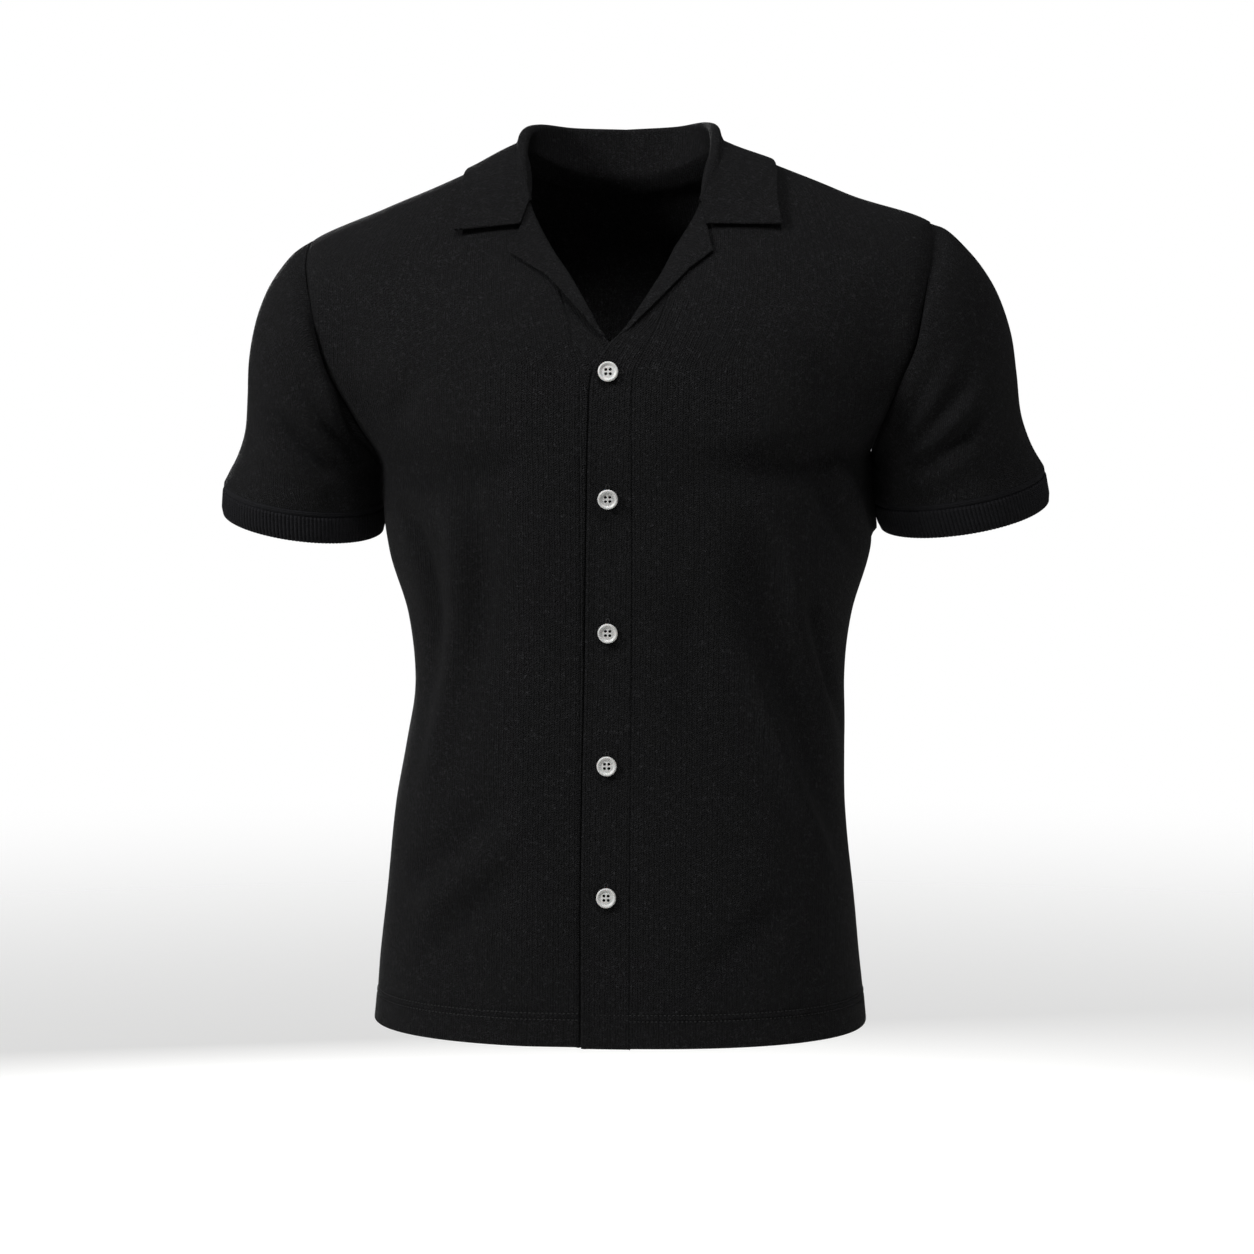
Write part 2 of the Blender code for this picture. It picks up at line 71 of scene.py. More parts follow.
# Lines on the front, as (height, distance from the centre)
lines = {
    "fold": [(-0.1495, 0.0000), (-0.1395, 0.0088), (-0.1270, 0.0165), (-0.1060, 0.0298), (-0.0835, 0.0436),
             (-0.0640, 0.0552), (-0.0480, 0.0622), (-0.0200, 0.0660), (0.0000, 0.0670)],
    "bandSeam": [(-0.1800, 0.0168), (-0.1692, 0.0178), (-0.1548, 0.0245), (-0.1440, 0.0290), (-0.1110, 0.0400),
                 (-0.0750, 0.0530), (-0.0480, 0.0665), (-0.0200, 0.0715), (0.0000, 0.0725)],
    "underSeam": [(-0.1800, 0.0206), (-0.1692, 0.0206), (-0.1548, 0.0252), (-0.1440, 0.0290), (-0.1110, 0.0400),
                  (-0.0750, 0.0530), (-0.0480, 0.0665), (-0.0200, 0.0715), (0.0000, 0.0725)],
    "freeEdge": [(-0.6570, -0.0172), (-0.5500, -0.0176), (-0.4270, -0.0163), (-0.3000, -0.0148),
                 (-0.2065, -0.0124), (-0.1742, -0.0111), (-0.1659, -0.0088), (-0.1569, -0.0042)],
    "underEdge": [(-0.6570, -0.0150), (-0.1900, -0.0150), (-0.1650, -0.0090)],
    "lapelEdge": [(-0.1475, 0.0020), (-0.1420, 0.0060), (-0.1240, 0.0228), (-0.1040, 0.0460), (-0.0930, 0.0620),
                  (-0.0846, 0.0738)],
}


def smoothStep(low, high, value):
    step = np.clip((value - low) / (high - low), 0.0, 1.0)
    return step * step * (3.0 - 2.0 * step)


def unit(vectors):
    return vectors / np.maximum(np.linalg.norm(vectors, axis=-1, keepdims=True), 1e-12)


def keysAlong(keys, where):
    # smooth curve through keys whose first numbers rise
    keys, where = np.asarray(keys, float), np.asarray(where, float)
    spots, values = keys[:, 0], keys[:, 1:]
    gap = np.diff(spots)[:, None]
    rise = np.diff(values, axis=0) / gap
    mean = 0.5 * (rise[1:] + rise[:-1]) * (rise[1:] * rise[:-1] > 0.0)
    start, end = np.vstack([rise[:1], mean]), np.vstack([mean, rise[-1:]])
    start = np.where(np.abs(start) > 3.0 * np.abs(rise), 3.0 * rise, start)
    end = np.where(np.abs(end) > 3.0 * np.abs(rise), 3.0 * rise, end)
    i = np.clip(np.searchsorted(spots, where) - 1, 0, len(spots) - 2)
    t = np.clip((where - spots[i]) / gap[i, 0], 0.0, 1.0)[..., None]
    s = t * t * (3.0 - 2.0 * t)
    return values[i] + (values[i + 1] - values[i]) * s + gap[i] * (start[i] * t * (1 - t) ** 2 - end[i] * t * t * (1 - t))


def pathPoint(points, t):
    # smooth curve through 3-D points, even along its length, t from 0 to 1
    p = np.asarray(points, float)
    p = np.vstack([2 * p[0] - p[1], p, 2 * p[-1] - p[-2]])
    gap = np.linalg.norm(np.diff(p, axis=0), axis=1)
    at = np.concatenate([[0.0], np.cumsum(gap[1:-1])])
    where = np.clip(t, 0.0, 1.0) * at[-1]
    i = np.clip(np.searchsorted(at, where) - 1, 0, len(at) - 2)
    s, span = ((where - at[i]) / gap[i + 1])[..., None], gap[i + 1][..., None]
    start = (p[i + 2] - p[i]) / (span + gap[i][..., None]) * span
    end = (p[i + 3] - p[i + 1]) / (span + gap[i + 2][..., None]) * span
    return (p[i + 1] * (2 * s**3 - 3 * s**2 + 1) + start * (s**3 - 2 * s**2 + s)
            + p[i + 2] * (3 * s**2 - 2 * s**3) + end * (s**3 - s**2))


def ringPoint(level, angle):
    # a point of the body: angle 0 is the left side, a quarter turn the centre front
    width, front, back, frontDip, backDip, square = np.moveaxis(keysAlong(form["rings"], level), -1, 0)
    c, s = np.cos(angle), np.sin(angle)
    reach = (np.abs(c) ** square + np.abs(s) ** square) ** (-1.0 / square)
    depth, dip = np.where(s > 0.0, front, back), np.where(s > 0.0, frontDip, backDip)
    return np.stack([width * c * reach, -depth * s * reach, level - dip * (s * reach) ** 2], axis=-1)


def bodyNormal(level, angle):
    across = ringPoint(level, angle + 0.004) - ringPoint(level, angle - 0.004)
    top = np.minimum(level + 0.001, 0.0)
    return unit(np.cross(ringPoint(top, angle) - ringPoint(top - 0.002, angle), across))


def settle(points):
    # the wearer's pose, on every piece alike
    x, y, z = np.moveaxis(eased(points), -1, 0)
    sway = keysAlong(form["sway"], np.clip(z, -0.66, 0.03))[..., 0]
    lean = keysAlong(form["lean"], np.clip(z, -0.46, 0.03))[..., 0]
    lean = lean * smoothStep(-0.04, 0.05, -y) * (1.0 - smoothStep(0.10, 0.20, np.abs(x)))
    tilt = form["tilt"] * smoothStep(-0.50, -0.10, z)
    return np.stack([x * (1.0 + sway * np.tanh(x / 0.05)) + lean, y, z + tilt * x], axis=-1)


def meetLine(level, line):
    # the angle where each ring crosses a line drawn on the left front
    low, high = np.full(level.shape, 0.02), np.full(level.shape, 3.1)
    for _ in range(36):
        mid = 0.5 * (low + high)
        p = ringPoint(level, mid)
        outside = p[..., 0] > keysAlong(line, np.clip(p[..., 2], line[0][0], 0.0))[..., 0]
        low, high = np.where(outside, mid, low), np.where(outside, high, mid)
    return 0.5 * (low + high)


def onFront(x, z):
    # (ring, angle) of the point of the front at a distance from the centre and a height
    x, z = np.broadcast_arrays(np.asarray(x, float), np.asarray(z, float))
    low, high = np.full(x.shape, form["hem"] - 0.007), np.zeros(x.shape)
    for _ in range(36):
        mid = 0.5 * (low + high)
        width, _front, _back, dip, _dip, square = np.moveaxis(keysAlong(form["rings"], mid), -1, 0)
        c = np.minimum(1.0, np.abs(x) / width)
        s = (1.0 - c**square) ** (1.0 / square)
        below = mid - dip * s * s < z
        low, high = np.where(below, mid, low), np.where(below, high, mid)
    return low, np.arctan2(s, np.copysign(c, x))


def armholeAt(turn):
    # (ring, angle) on the armhole seam: turn 0 at the shoulder tip, pi at the armpit, positive in front
    level = 0.5 * (form["tip"] + form["armpit"]) + 0.5 * (form["tip"] - form["armpit"]) * np.cos(turn)
    keys = keysAlong(form["rings"], level)
    reach = np.where(turn > 0, form["armholeFront"] / keys[..., 1], form["armholeBack"] / keys[..., 2])
    s = reach * np.abs(np.sin(turn))
    angle = np.arctan2(s, (1.0 - s ** keys[..., 5]) ** (1.0 / keys[..., 5]))
    return level, np.where(turn > 0, angle, -angle)


def gridNormals(grid):
    # columns run to the right and rows run up, seen from outside
    return unit(np.cross(np.gradient(grid, axis=1), np.gradient(grid, axis=0)))


# Both sides of the armhole seams stand out together, so that sleeve and chest run into each other
armholeEase = {"front": (0.30, 2.75), "back": (-0.30, -2.75), "height": 0.0130, "width": (0.028, 0.024)}


def eased(points):
    sides = np.abs(points) * np.array([1.0, 0.0, 0.0]) + points * np.array([0.0, 1.0, 1.0])
    if sides[..., 0].max() < 0.13:
        return points
    moved = points.copy()
    for key, way in (("front", -1.0), ("back", 1.0)):
        start, end = armholeEase[key]
        seam = {"line": ringPoint(*armholeAt(np.linspace(start, end, 7))), "face": np.array([0.0, way, 0.0]),
                "width": armholeEase["width"], "height": armholeEase["height"], "rise": 0.35, "fade": 0.35}
        moved[..., 1] += way * creaseLift(sides, [seam])
    return moved


# Soft unevenness of worn jersey, as slow waves: direction and wave number in 1/m, height, phase
slackWaves = [((31.0, 12.0, 9.0), 0.00045, 0.4), ((-14.0, 22.0, 27.0), 0.00040, 1.9), ((8.0, -17.0, 51.0), 0.00030, 3.1),
              ((57.0, 21.0, -24.0), 0.00022, 5.2), ((-43.0, 35.0, 66.0), 0.00018, 2.6), ((71.0, -52.0, 38.0), 0.00012, 0.9)]


def slack(points):
    total = np.zeros(points.shape[:-1])
    for direction, height, phase in slackWaves:
        total += height * np.sin(points @ np.array(direction) + phase)
    return total


def ontoBody(crease):
    # a crease's line brought onto the front or the back
    x, z = np.array(crease["line"]).T
    level, angle = onFront(x, z)
    out = -1.0 if crease["on"] == "front" else 1.0
    return {**crease, "line": ringPoint(level, -out * angle), "face": np.array([0.0, out, 0.0])}


def creaseLift(points, creases):
    # each crease: its line, half width at start and end, height (negative for a trough), lopsidedness
    total = np.zeros(points.shape[:-1])
    for crease in creases:
        line = pathPoint(crease["line"], np.linspace(0.0, 1.0, 14))
        best, at, side = np.full(total.shape, 1.0), np.zeros(total.shape), np.zeros(total.shape)
        for k in range(len(line) - 1):
            step = line[k + 1] - line[k]
            away = points - line[k]
            t = np.clip(away @ step / (step @ step), 0.0, 1.0)
            off = away - t[..., None] * step
            far = np.linalg.norm(off, axis=-1)
            closer = far < best
            best = np.where(closer, far, best)
            at = np.where(closer, (k + t) / (len(line) - 1), at)
            side = np.where(closer, off @ np.cross(step, crease["face"]) / np.linalg.norm(step), side)
        start, end = crease["width"]
        wide = start + (end - start) * at
        lean = 1.0 + crease.get("lean", 0.0) * np.tanh(side / wide)
        ends = smoothStep(0.0, crease.get("rise", 0.25), at) * (1.0 - smoothStep(1.0 - crease.get("fade", 0.45), 1.0, at))
        total += crease["height"] * ends * np.exp(-((best / (wide * lean)) ** 2))
    return total


# Creases of the body: on the front or the back, each line is given as (distance from the centre, height)
bodyCreases = [
    # the wearer's right front: folds that drop from the armpit, then slant in above the hem
    {"on": "front", "line": [(-0.130, -0.238), (-0.118, -0.283), (-0.117, -0.327), (-0.119, -0.364), (-0.128, -0.420),
                             (-0.138, -0.477), (-0.152, -0.520)], "width": (0.010, 0.015), "height": 0.0066},
    {"on": "front", "line": [(-0.160, -0.246), (-0.143, -0.303), (-0.137, -0.353), (-0.145, -0.416)],
     "width": (0.010, 0.012), "height": -0.0059},
    {"on": "front", "line": [(-0.112, -0.238), (-0.097, -0.289), (-0.097, -0.351), (-0.103, -0.415)],
     "width": (0.010, 0.014), "height": -0.0046},
    {"on": "front", "line": [(-0.154, -0.542), (-0.121, -0.520), (-0.092, -0.494), (-0.064, -0.456)],
     "width": (0.012, 0.018), "height": -0.0056},
    {"on": "front", "line": [(-0.152, -0.572), (-0.114, -0.544), (-0.079, -0.514), (-0.050, -0.484)],
     "width": (0.011, 0.016), "height": 0.0053},
    {"on": "front", "line": [(-0.147, -0.604), (-0.107, -0.570), (-0.076, -0.541), (-0.050, -0.514)],
     "width": (0.011, 0.015), "height": -0.0042},
    # the breaks under the chest
    {"on": "front", "line": [(-0.174, -0.230), (-0.122, -0.243), (-0.077, -0.238), (-0.030, -0.219)],
     "width": (0.013, 0.020), "height": -0.0046},
    {"on": "front", "line": [(0.174, -0.224), (0.134, -0.239), (0.088, -0.242), (0.036, -0.224)],
     "width": (0.013, 0.020), "height": -0.0046},
    # the wearer's left front: long folds that swing out towards the side seam
    {"on": "front", "line": [(0.094, -0.248), (0.101, -0.303), (0.107, -0.357), (0.126, -0.413), (0.150, -0.475),
                             (0.173, -0.548)], "width": (0.017, 0.012), "height": -0.0058, "fade": 0.35},
    {"on": "front", "line": [(0.090, -0.360), (0.102, -0.395), (0.121, -0.442), (0.143, -0.493), (0.165, -0.548)],
     "width": (0.010, 0.009), "height": 0.0056, "fade": 0.25},
    {"on": "front", "line": [(0.118, -0.290), (0.130, -0.353), (0.148, -0.415), (0.164, -0.470)],
     "width": (0.010, 0.010), "height": 0.0053},
    {"on": "front", "line": [(0.132, -0.325), (0.147, -0.385), (0.164, -0.445)], "width": (0.008, 0.008), "height": -0.0046},
    {"on": "front", "line": [(0.140, -0.242), (0.158, -0.282), (0.171, -0.320)], "width": (0.009, 0.010), "height": -0.0056},
    {"on": "front", "line": [(0.155, -0.232), (0.170, -0.262), (0.178, -0.300)], "width": (0.007, 0.009), "height": 0.0039},
    {"on": "front", "line": [(0.047, -0.320), (0.058, -0.385), (0.058, -0.455)], "width": (0.013, 0.018), "height": -0.0035},
    {"on": "front", "line": [(0.062, -0.612), (0.105, -0.573), (0.147, -0.536)], "width": (0.014, 0.012), "height": -0.0035},
    # soft pulls from the armholes across the chest and from the collar to the shoulders
    {"on": "front", "line": [(-0.165, -0.205), (-0.145, -0.180), (-0.132, -0.150)], "width": (0.009, 0.014), "height": -0.0032},
    {"on": "front", "line": [(0.168, -0.200), (0.150, -0.172), (0.140, -0.140)], "width": (0.009, 0.014), "height": -0.0032},
    # the back: the same folds from the armpits, the hollow between the shoulder blades and the breaks at the waist
    {"on": "back", "line": [(-0.166, -0.240), (-0.133, -0.310), (-0.120, -0.380), (-0.128, -0.455)],
     "width": (0.011, 0.015), "height": -0.0059},
    {"on": "back", "line": [(-0.140, -0.245), (-0.107, -0.320), (-0.096, -0.395), (-0.108, -0.470)],
     "width": (0.011, 0.016), "height": 0.0056},
    {"on": "back", "line": [(0.164, -0.244), (0.129, -0.320), (0.113, -0.400), (0.124, -0.486)],
     "width": (0.011, 0.015), "height": -0.0059},
    {"on": "back", "line": [(0.137, -0.255), (0.104, -0.335), (0.090, -0.410), (0.105, -0.500)],
     "width": (0.011, 0.016), "height": 0.0056},
    {"on": "back", "line": [(0.004, -0.150), (0.000, -0.245), (-0.004, -0.335), (0.000, -0.405)],
     "width": (0.028, 0.020), "height": -0.0056},
    {"on": "back", "line": [(-0.112, -0.402), (-0.050, -0.419), (0.020, -0.415), (0.098, -0.398)],
     "width": (0.012, 0.011), "height": -0.0053},
    {"on": "back", "line": [(-0.088, -0.438), (-0.020, -0.453), (0.064, -0.446)], "width": (0.011, 0.012), "height": -0.0042},
    {"on": "back", "line": [(0.152, -0.562), (0.105, -0.532), (0.058, -0.490)], "width": (0.012, 0.016), "height": -0.0046},
    {"on": "back", "line": [(-0.154, -0.575), (-0.100, -0.542), (-0.052, -0.500)], "width": (0.012, 0.016), "height": 0.0046},
    {"on": "back", "line": [(-0.154, -0.538), (-0.105, -0.505), (-0.062, -0.466)], "width": (0.011, 0.016), "height": -0.0046},
    {"on": "back", "line": [(-0.168, -0.205), (-0.140, -0.175), (-0.120, -0.140)], "width": (0.010, 0.014), "height": -0.0039},
    {"on": "back", "line": [(0.166, -0.207), (0.138, -0.172), (0.122, -0.135)], "width": (0.010, 0.014), "height": -0.0039},
    # the left side stands out where the sleeve's underarm leans on it
    {"on": "front", "line": [(0.190, -0.231), (0.190, -0.262), (0.190, -0.294)], "width": (0.014, 0.016), "height": 0.0042,
     "rise": 0.13, "fade": 0.1},
]
hemDetail = {
    "depth": 0.0230,  # from the edge to the upper stitch row
    "rowGap": 0.0045,  # between the two needle rows
    "proud": 0.0005,  # the turned-up hem lifts the cloth
    "groove": 0.0009,
    "grooveWidth": 0.0009,
    "turnUp": 0.0245,
}


bodyFolds = [ontoBody(crease) for crease in bodyCreases]


def bodyLift(points, level):
    # everything that moves the body's cloth off its plain form
    height = level - form["hem"]
    lift = hemDetail["proud"] * (1.0 - smoothStep(hemDetail["depth"] - 0.001, hemDetail["depth"] + 0.002, height))
    for row in (hemDetail["depth"], hemDetail["depth"] - hemDetail["rowGap"]):
        lift = lift - hemDetail["groove"] * np.exp(-(((height - row) / hemDetail["grooveWidth"]) ** 2))
    bare = 1.0 - smoothStep(-0.046, -0.030, level)  # the cloth lies flat under the collar
    return lift + (slack(points) * smoothStep(0.0, 0.05, height) + creaseLift(points, bodyFolds)) * bare


def bodyPoints(level, angle, out=0.0):
    points = ringPoint(level, angle)
    return points + bodyNormal(level, angle) * (bodyLift(points, level) + out)[..., None]


def rolledOver(grid, side, section, ends=0):
    # adds rows or columns past an edge: the section is (outward, up) steps from that edge; the first and last
    # few follow their neighbours
    normals = gridNormals(grid)
    turnOver = {"top": lambda g: g, "bottom": lambda g: g[::-1], "right": lambda g: g.transpose(1, 0, 2),
                "left": lambda g: g.transpose(1, 0, 2)[::-1]}[side]
    turnBack = {"top": lambda g: g, "bottom": lambda g: g[::-1], "right": lambda g: g.transpose(1, 0, 2),
                "left": lambda g: g[::-1].transpose(1, 0, 2)}[side]
    g, n = turnOver(grid), turnOver(normals)[-1]
    along = unit(np.gradient(g[-1], axis=0))
    away = g[-1] - g[-2]
    away = unit(away - (away * along).sum(-1, keepdims=True) * along)
    steps = np.stack([away * step + n * up for step, up in section])
    if ends:
        steps[:, :ends], steps[:, -ends:] = steps[:, ends:ends + 1], steps[:, -ends - 1:-ends]
    return turnBack(np.concatenate([g, g[-1] + steps], axis=0))


def seamSection():
    r, steps = cloth["seamRoll"], []
    for degrees in (22, 45, 68, 90):
        a = math.radians(degrees)
        steps.append((r * math.sin(a), -r * (1.0 - math.cos(a))))
    return steps + [(r, -r - 0.4 * cloth["allowance"]), (r, -r - cloth["allowance"])]


def foldSection(radius, back, count=8):
    # a half turn and then a ply that runs back under the edge
    half = [(radius * math.sin(math.pi * k / count), -radius * (1.0 - math.cos(math.pi * k / count)))
            for k in range(1, count + 1)]
    return half + [(-back * k / 4.0, -2.0 * radius) for k in range(1, 5) if back]


def clothUv(grid, true):
    # distances on the cloth: across from the column where the wales run true, and up from the lowest row
    across = np.linalg.norm(np.diff(grid, axis=1), axis=-1)
    u = np.concatenate([np.zeros((grid.shape[0], 1)), np.cumsum(across, axis=1)], axis=1)
    u -= u[:, true][:, None]
    tangent = unit(np.gradient(grid, axis=1))[:-1]
    rise = np.diff(grid, axis=0)
    rise = np.linalg.norm(rise - (rise * tangent).sum(-1, keepdims=True) * tangent, axis=-1)
    v = np.concatenate([np.zeros((1, grid.shape[1])), np.cumsum(rise, axis=0)], axis=0)
    return np.stack([u, v], axis=-1)


def clothPiece(name, grid, material, thick=None, true=0, attributes=None):
    # a closed shell: the outer face is the grid, the inner face is `thick` behind it, the rim is round
    rows, columns = grid.shape[:2]
    normals = gridNormals(grid)
    thick = np.broadcast_to(cloth["thick"] if thick is None else thick, (rows, columns))[..., None]
    inner = grid - normals * thick
    outward = np.zeros_like(grid)
    outward[0] += unit(grid[0] - grid[1])
    outward[-1] += unit(grid[-1] - grid[-2])
    outward[:, 0] += unit(grid[:, 0] - grid[:, 1])
    outward[:, -1] += unit(grid[:, -1] - grid[:, -2])
    outward = unit(outward)
    index = np.arange(rows * columns).reshape(rows, columns)
    edge = np.concatenate([index[0, :-1], index[:-1, -1], index[-1, :0:-1], index[:0:-1, 0]])
    flat = lambda g: g.reshape(-1, g.shape[-1])
    centre, half = 0.5 * flat(grid + inner)[edge], 0.5 * flat(thick)[edge]
    rim = [centre + (flat(normals)[edge] * math.cos(a) + flat(outward)[edge] * math.sin(a)) * half
           for a in (0.25 * math.pi, 0.5 * math.pi, 0.75 * math.pi)]
    vertices = np.concatenate([flat(grid), flat(inner), *rim])
    a, b, c, d = index[:-1, :-1].ravel(), index[:-1, 1:].ravel(), index[1:, 1:].ravel(), index[1:, :-1].ravel()
    count = rows * columns
    faces = [np.stack([a, b, c, d], 1), np.stack([d, c, b, a], 1) + count]
    loops = [edge, *(2 * count + k * len(edge) + np.arange(len(edge)) for k in range(3)), edge + count]
    for first, second in zip(loops, loops[1:]):
        faces.append(np.stack([np.roll(first, -1), first, second, np.roll(second, -1)], 1))
    faces = np.concatenate(faces)
    mesh = bpy.data.meshes.new(name)
    mesh.from_pydata(vertices.tolist(), [], faces.tolist())
    uv = clothUv(grid, true).reshape(-1, 2)
    uv = np.concatenate([uv, uv, uv[edge], uv[edge], uv[edge]])
    mesh.uv_layers.new(name="cloth").data.foreach_set("uv", uv[faces.ravel()].astype(np.float32).ravel())
    for key, value in (attributes or {}).items():
        face, back = value
        values = np.concatenate([face.ravel(), back.ravel(), *[0.5 * (face.ravel() + back.ravel())[edge]] * 3])
        mesh.attributes.new(key, "FLOAT", "POINT").data.foreach_set("value", values.astype(np.float32))
    mesh.materials.append(material)
    mesh.shade_smooth()
    obj = bpy.data.objects.new(name, mesh)
    bpy.context.scene.collection.objects.link(obj)
    return obj


def hand(obj, slot, *nodes):
    # every piece rides on the one body
    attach(obj, "root")
    if nodes:
        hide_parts(*nodes)
    return obj


def colour(code):
    # sRGB hex to linear
    parts = [int(code[k:k + 2], 16) / 255.0 for k in (1, 3, 5)]
    return (*[c / 12.92 if c <= 0.04045 else ((c + 0.055) / 1.055) ** 2.4 for c in parts], 1.0)


def addNode(tree, kind, inputs=None, **settings):
    node = tree.nodes.new(kind)
    for name, value in settings.items():
        setattr(node, name, value)
    for socket, value in (inputs or {}).items():
        if isinstance(value, bpy.types.NodeSocket):
            tree.links.new(value, node.inputs[socket])
        else:
            node.inputs[socket].default_value = value
    return node


def newMaterial(name):
    material = bpy.data.materials.new(name)
    material.use_nodes = True
    return material, material.node_tree, material.node_tree.nodes["Principled BSDF"]


# Materials
jersey = {
    # the first two colours are painted shade in the stitch grooves and painted highlight on the loops; the third is
    # painted highlight on the raised strands
    "dark": "#070708", "light": "#151516", "strandHighlight": "#2e2e30",
    "wale": 0.0019,  # a fine-gauge wale is about 0.9 mm; drawn twice as wide, so that it shows
    "course": 0.0016,
    "relief": 0.0009,
    "wormSize": 0.0025,
}


def jerseyKnit():
    # cotton jersey, knitted fine and washed: matt, slightly fuzzy, V stitches in columns, raised strands on top; the
    # colour carries painted shade in the stitch grooves and painted highlight on the loops and the strands
    material, tree, shader = newMaterial("cotton_jersey_knit")
    uv = addNode(tree, "ShaderNodeUVMap", uv_map="cloth").outputs["UV"]
    place = addNode(tree, "ShaderNodeTexCoord").outputs["Object"]
    wander = addNode(tree, "ShaderNodeTexNoise", {"Vector": place, "Scale": 260.0, "Detail": 2.0}).outputs["Color"]
    wander = addNode(tree, "ShaderNodeVectorMath", {0: wander, 1: (0.5, 0.5, 0.5)}, operation="SUBTRACT").outputs[0]
    wander = addNode(tree, "ShaderNodeVectorMath", {0: wander, "Scale": 0.0022}, operation="SCALE").outputs[0]
    uv = addNode(tree, "ShaderNodeVectorMath", {0: uv, 1: wander}).outputs[0]
    split = addNode(tree, "ShaderNodeSeparateXYZ", {0: uv})
    wale = addNode(tree, "ShaderNodeMath", {0: split.outputs["X"], 1: jersey["wale"]}, operation="DIVIDE").outputs[0]
    saw = addNode(tree, "ShaderNodeMath", {0: wale, 1: 1.0}, operation="PINGPONG").outputs[0]
    column = addNode(tree, "ShaderNodeMath", {0: saw, 1: math.pi}, operation="MULTIPLY").outputs[0]
    column = addNode(tree, "ShaderNodeMath", {0: column}, operation="SINE").outputs[0]
    course = addNode(tree, "ShaderNodeMath", {0: split.outputs["Y"], 1: jersey["course"]}, operation="DIVIDE").outputs[0]
    course = addNode(tree, "ShaderNodeMath", {0: saw, 1: 0.9, 2: course}, operation="MULTIPLY_ADD").outputs[0]
    course = addNode(tree, "ShaderNodeMath", {0: course, 1: 2.0 * math.pi}, operation="MULTIPLY").outputs[0]
    course = addNode(tree, "ShaderNodeMath", {0: course}, operation="SINE").outputs[0]
    stitch = addNode(tree, "ShaderNodeMath", {0: course, 1: 0.45, 2: column}, operation="MULTIPLY_ADD").outputs[0]
    worm = addNode(tree, "ShaderNodeTexNoise", {"Vector": place, "Scale": 1.0 / jersey["wormSize"], "Detail": 1.0,
                                               "Roughness": 0.4, "Distortion": 0.8}).outputs["Fac"]
    worm = addNode(tree, "ShaderNodeMath", {0: worm, 1: 0.5}, operation="SUBTRACT").outputs[0]
    worm = addNode(tree, "ShaderNodeMath", {0: worm}, operation="ABSOLUTE").outputs[0]
    worm = addNode(tree, "ShaderNodeMapRange", {"Value": worm, "From Min": 0.0, "From Max": 0.052, "To Min": 1.0,
                                               "To Max": 0.0}, interpolation_type="SMOOTHSTEP").outputs["Result"]
    patch = addNode(tree, "ShaderNodeTexNoise", {"Vector": place, "Scale": 170.0, "Detail": 1.0}).outputs["Fac"]
    patch = addNode(tree, "ShaderNodeMapRange", {"Value": patch, "From Min": 0.35, "From Max": 0.62, "To Min": 0.45,
                                                "To Max": 0.85}).outputs["Result"]
    worm = addNode(tree, "ShaderNodeMath", {0: worm, 1: patch}, operation="MULTIPLY").outputs[0]
    height = addNode(tree, "ShaderNodeMath", {0: worm, 1: 1.2, 2: stitch}, operation="MULTIPLY_ADD").outputs[0]
    bump = addNode(tree, "ShaderNodeBump", {"Height": height, "Distance": jersey["relief"], "Strength": 1.0})
    # painted shade and painted highlight: the colour follows the stitch relief, darker in the grooves and lighter on
    # the loops
    tone = addNode(tree, "ShaderNodeMapRange", {"Value": stitch, "From Min": -0.2, "From Max": 1.4}).outputs["Result"]
    base = addNode(tree, "ShaderNodeMix", {0: tone, 6: colour(jersey["dark"]), 7: colour(jersey["light"])},
                   data_type="RGBA").outputs[2]
    # painted highlight: the raised strands are coloured lighter
    base = addNode(tree, "ShaderNodeMix", {0: worm, 6: base, 7: colour(jersey["strandHighlight"])}, data_type="RGBA").outputs[2]
    tree.links.new(base, shader.inputs["Base Color"])
    tree.links.new(bump.outputs["Normal"], shader.inputs["Normal"])
    shader.inputs["Roughness"].default_value = 0.88
    shader.inputs["IOR"].default_value = 1.45
    shader.inputs["Specular IOR Level"].default_value = 0.16
    shader.inputs["Sheen Weight"].default_value = 0.03
    shader.inputs["Sheen Roughness"].default_value = 0.45
    shader.inputs["Sheen Tint"].default_value = colour("#8a8a90")
    return material


def ribKnit():
    # the same cotton in one-by-one rib: the ribs are real, the yarn's plies are bump
    material, tree, shader = newMaterial("cotton_rib_knit")
    uv = addNode(tree, "ShaderNodeUVMap", uv_map="cloth").outputs["UV"]
    split = addNode(tree, "ShaderNodeSeparateXYZ", {0: uv})
    course = addNode(tree, "ShaderNodeMath", {0: split.outputs["Y"], 1: 2.0 * math.pi / 0.0014}, operation="MULTIPLY")
    course = addNode(tree, "ShaderNodeMath", {0: course.outputs[0]}, operation="SINE").outputs[0]
    place = addNode(tree, "ShaderNodeTexCoord").outputs["Object"]
    fuzz = addNode(tree, "ShaderNodeTexNoise", {"Vector": place, "Scale": 900.0, "Detail": 3.0}).outputs["Fac"]
    height = addNode(tree, "ShaderNodeMath", {0: fuzz, 1: 2.0, 2: course}, operation="MULTIPLY_ADD").outputs[0]
    bump = addNode(tree, "ShaderNodeBump", {"Height": height, "Distance": 0.00012, "Strength": 0.8})
    tone = addNode(tree, "ShaderNodeMapRange", {"Value": fuzz, "From Min": 0.3, "From Max": 0.7}).outputs["Result"]
    base = addNode(tree, "ShaderNodeMix", {0: tone, 6: colour("#0b0b0d"), 7: colour("#19191c")}, data_type="RGBA")
    tree.links.new(base.outputs[2], shader.inputs["Base Color"])
    tree.links.new(bump.outputs["Normal"], shader.inputs["Normal"])
    shader.inputs["Roughness"].default_value = 0.9
    shader.inputs["Specular IOR Level"].default_value = 0.16
    shader.inputs["Sheen Weight"].default_value = 0.03
    shader.inputs["Sheen Roughness"].default_value = 0.45
    shader.inputs["Sheen Tint"].default_value = colour("#8a8a90")
    return material


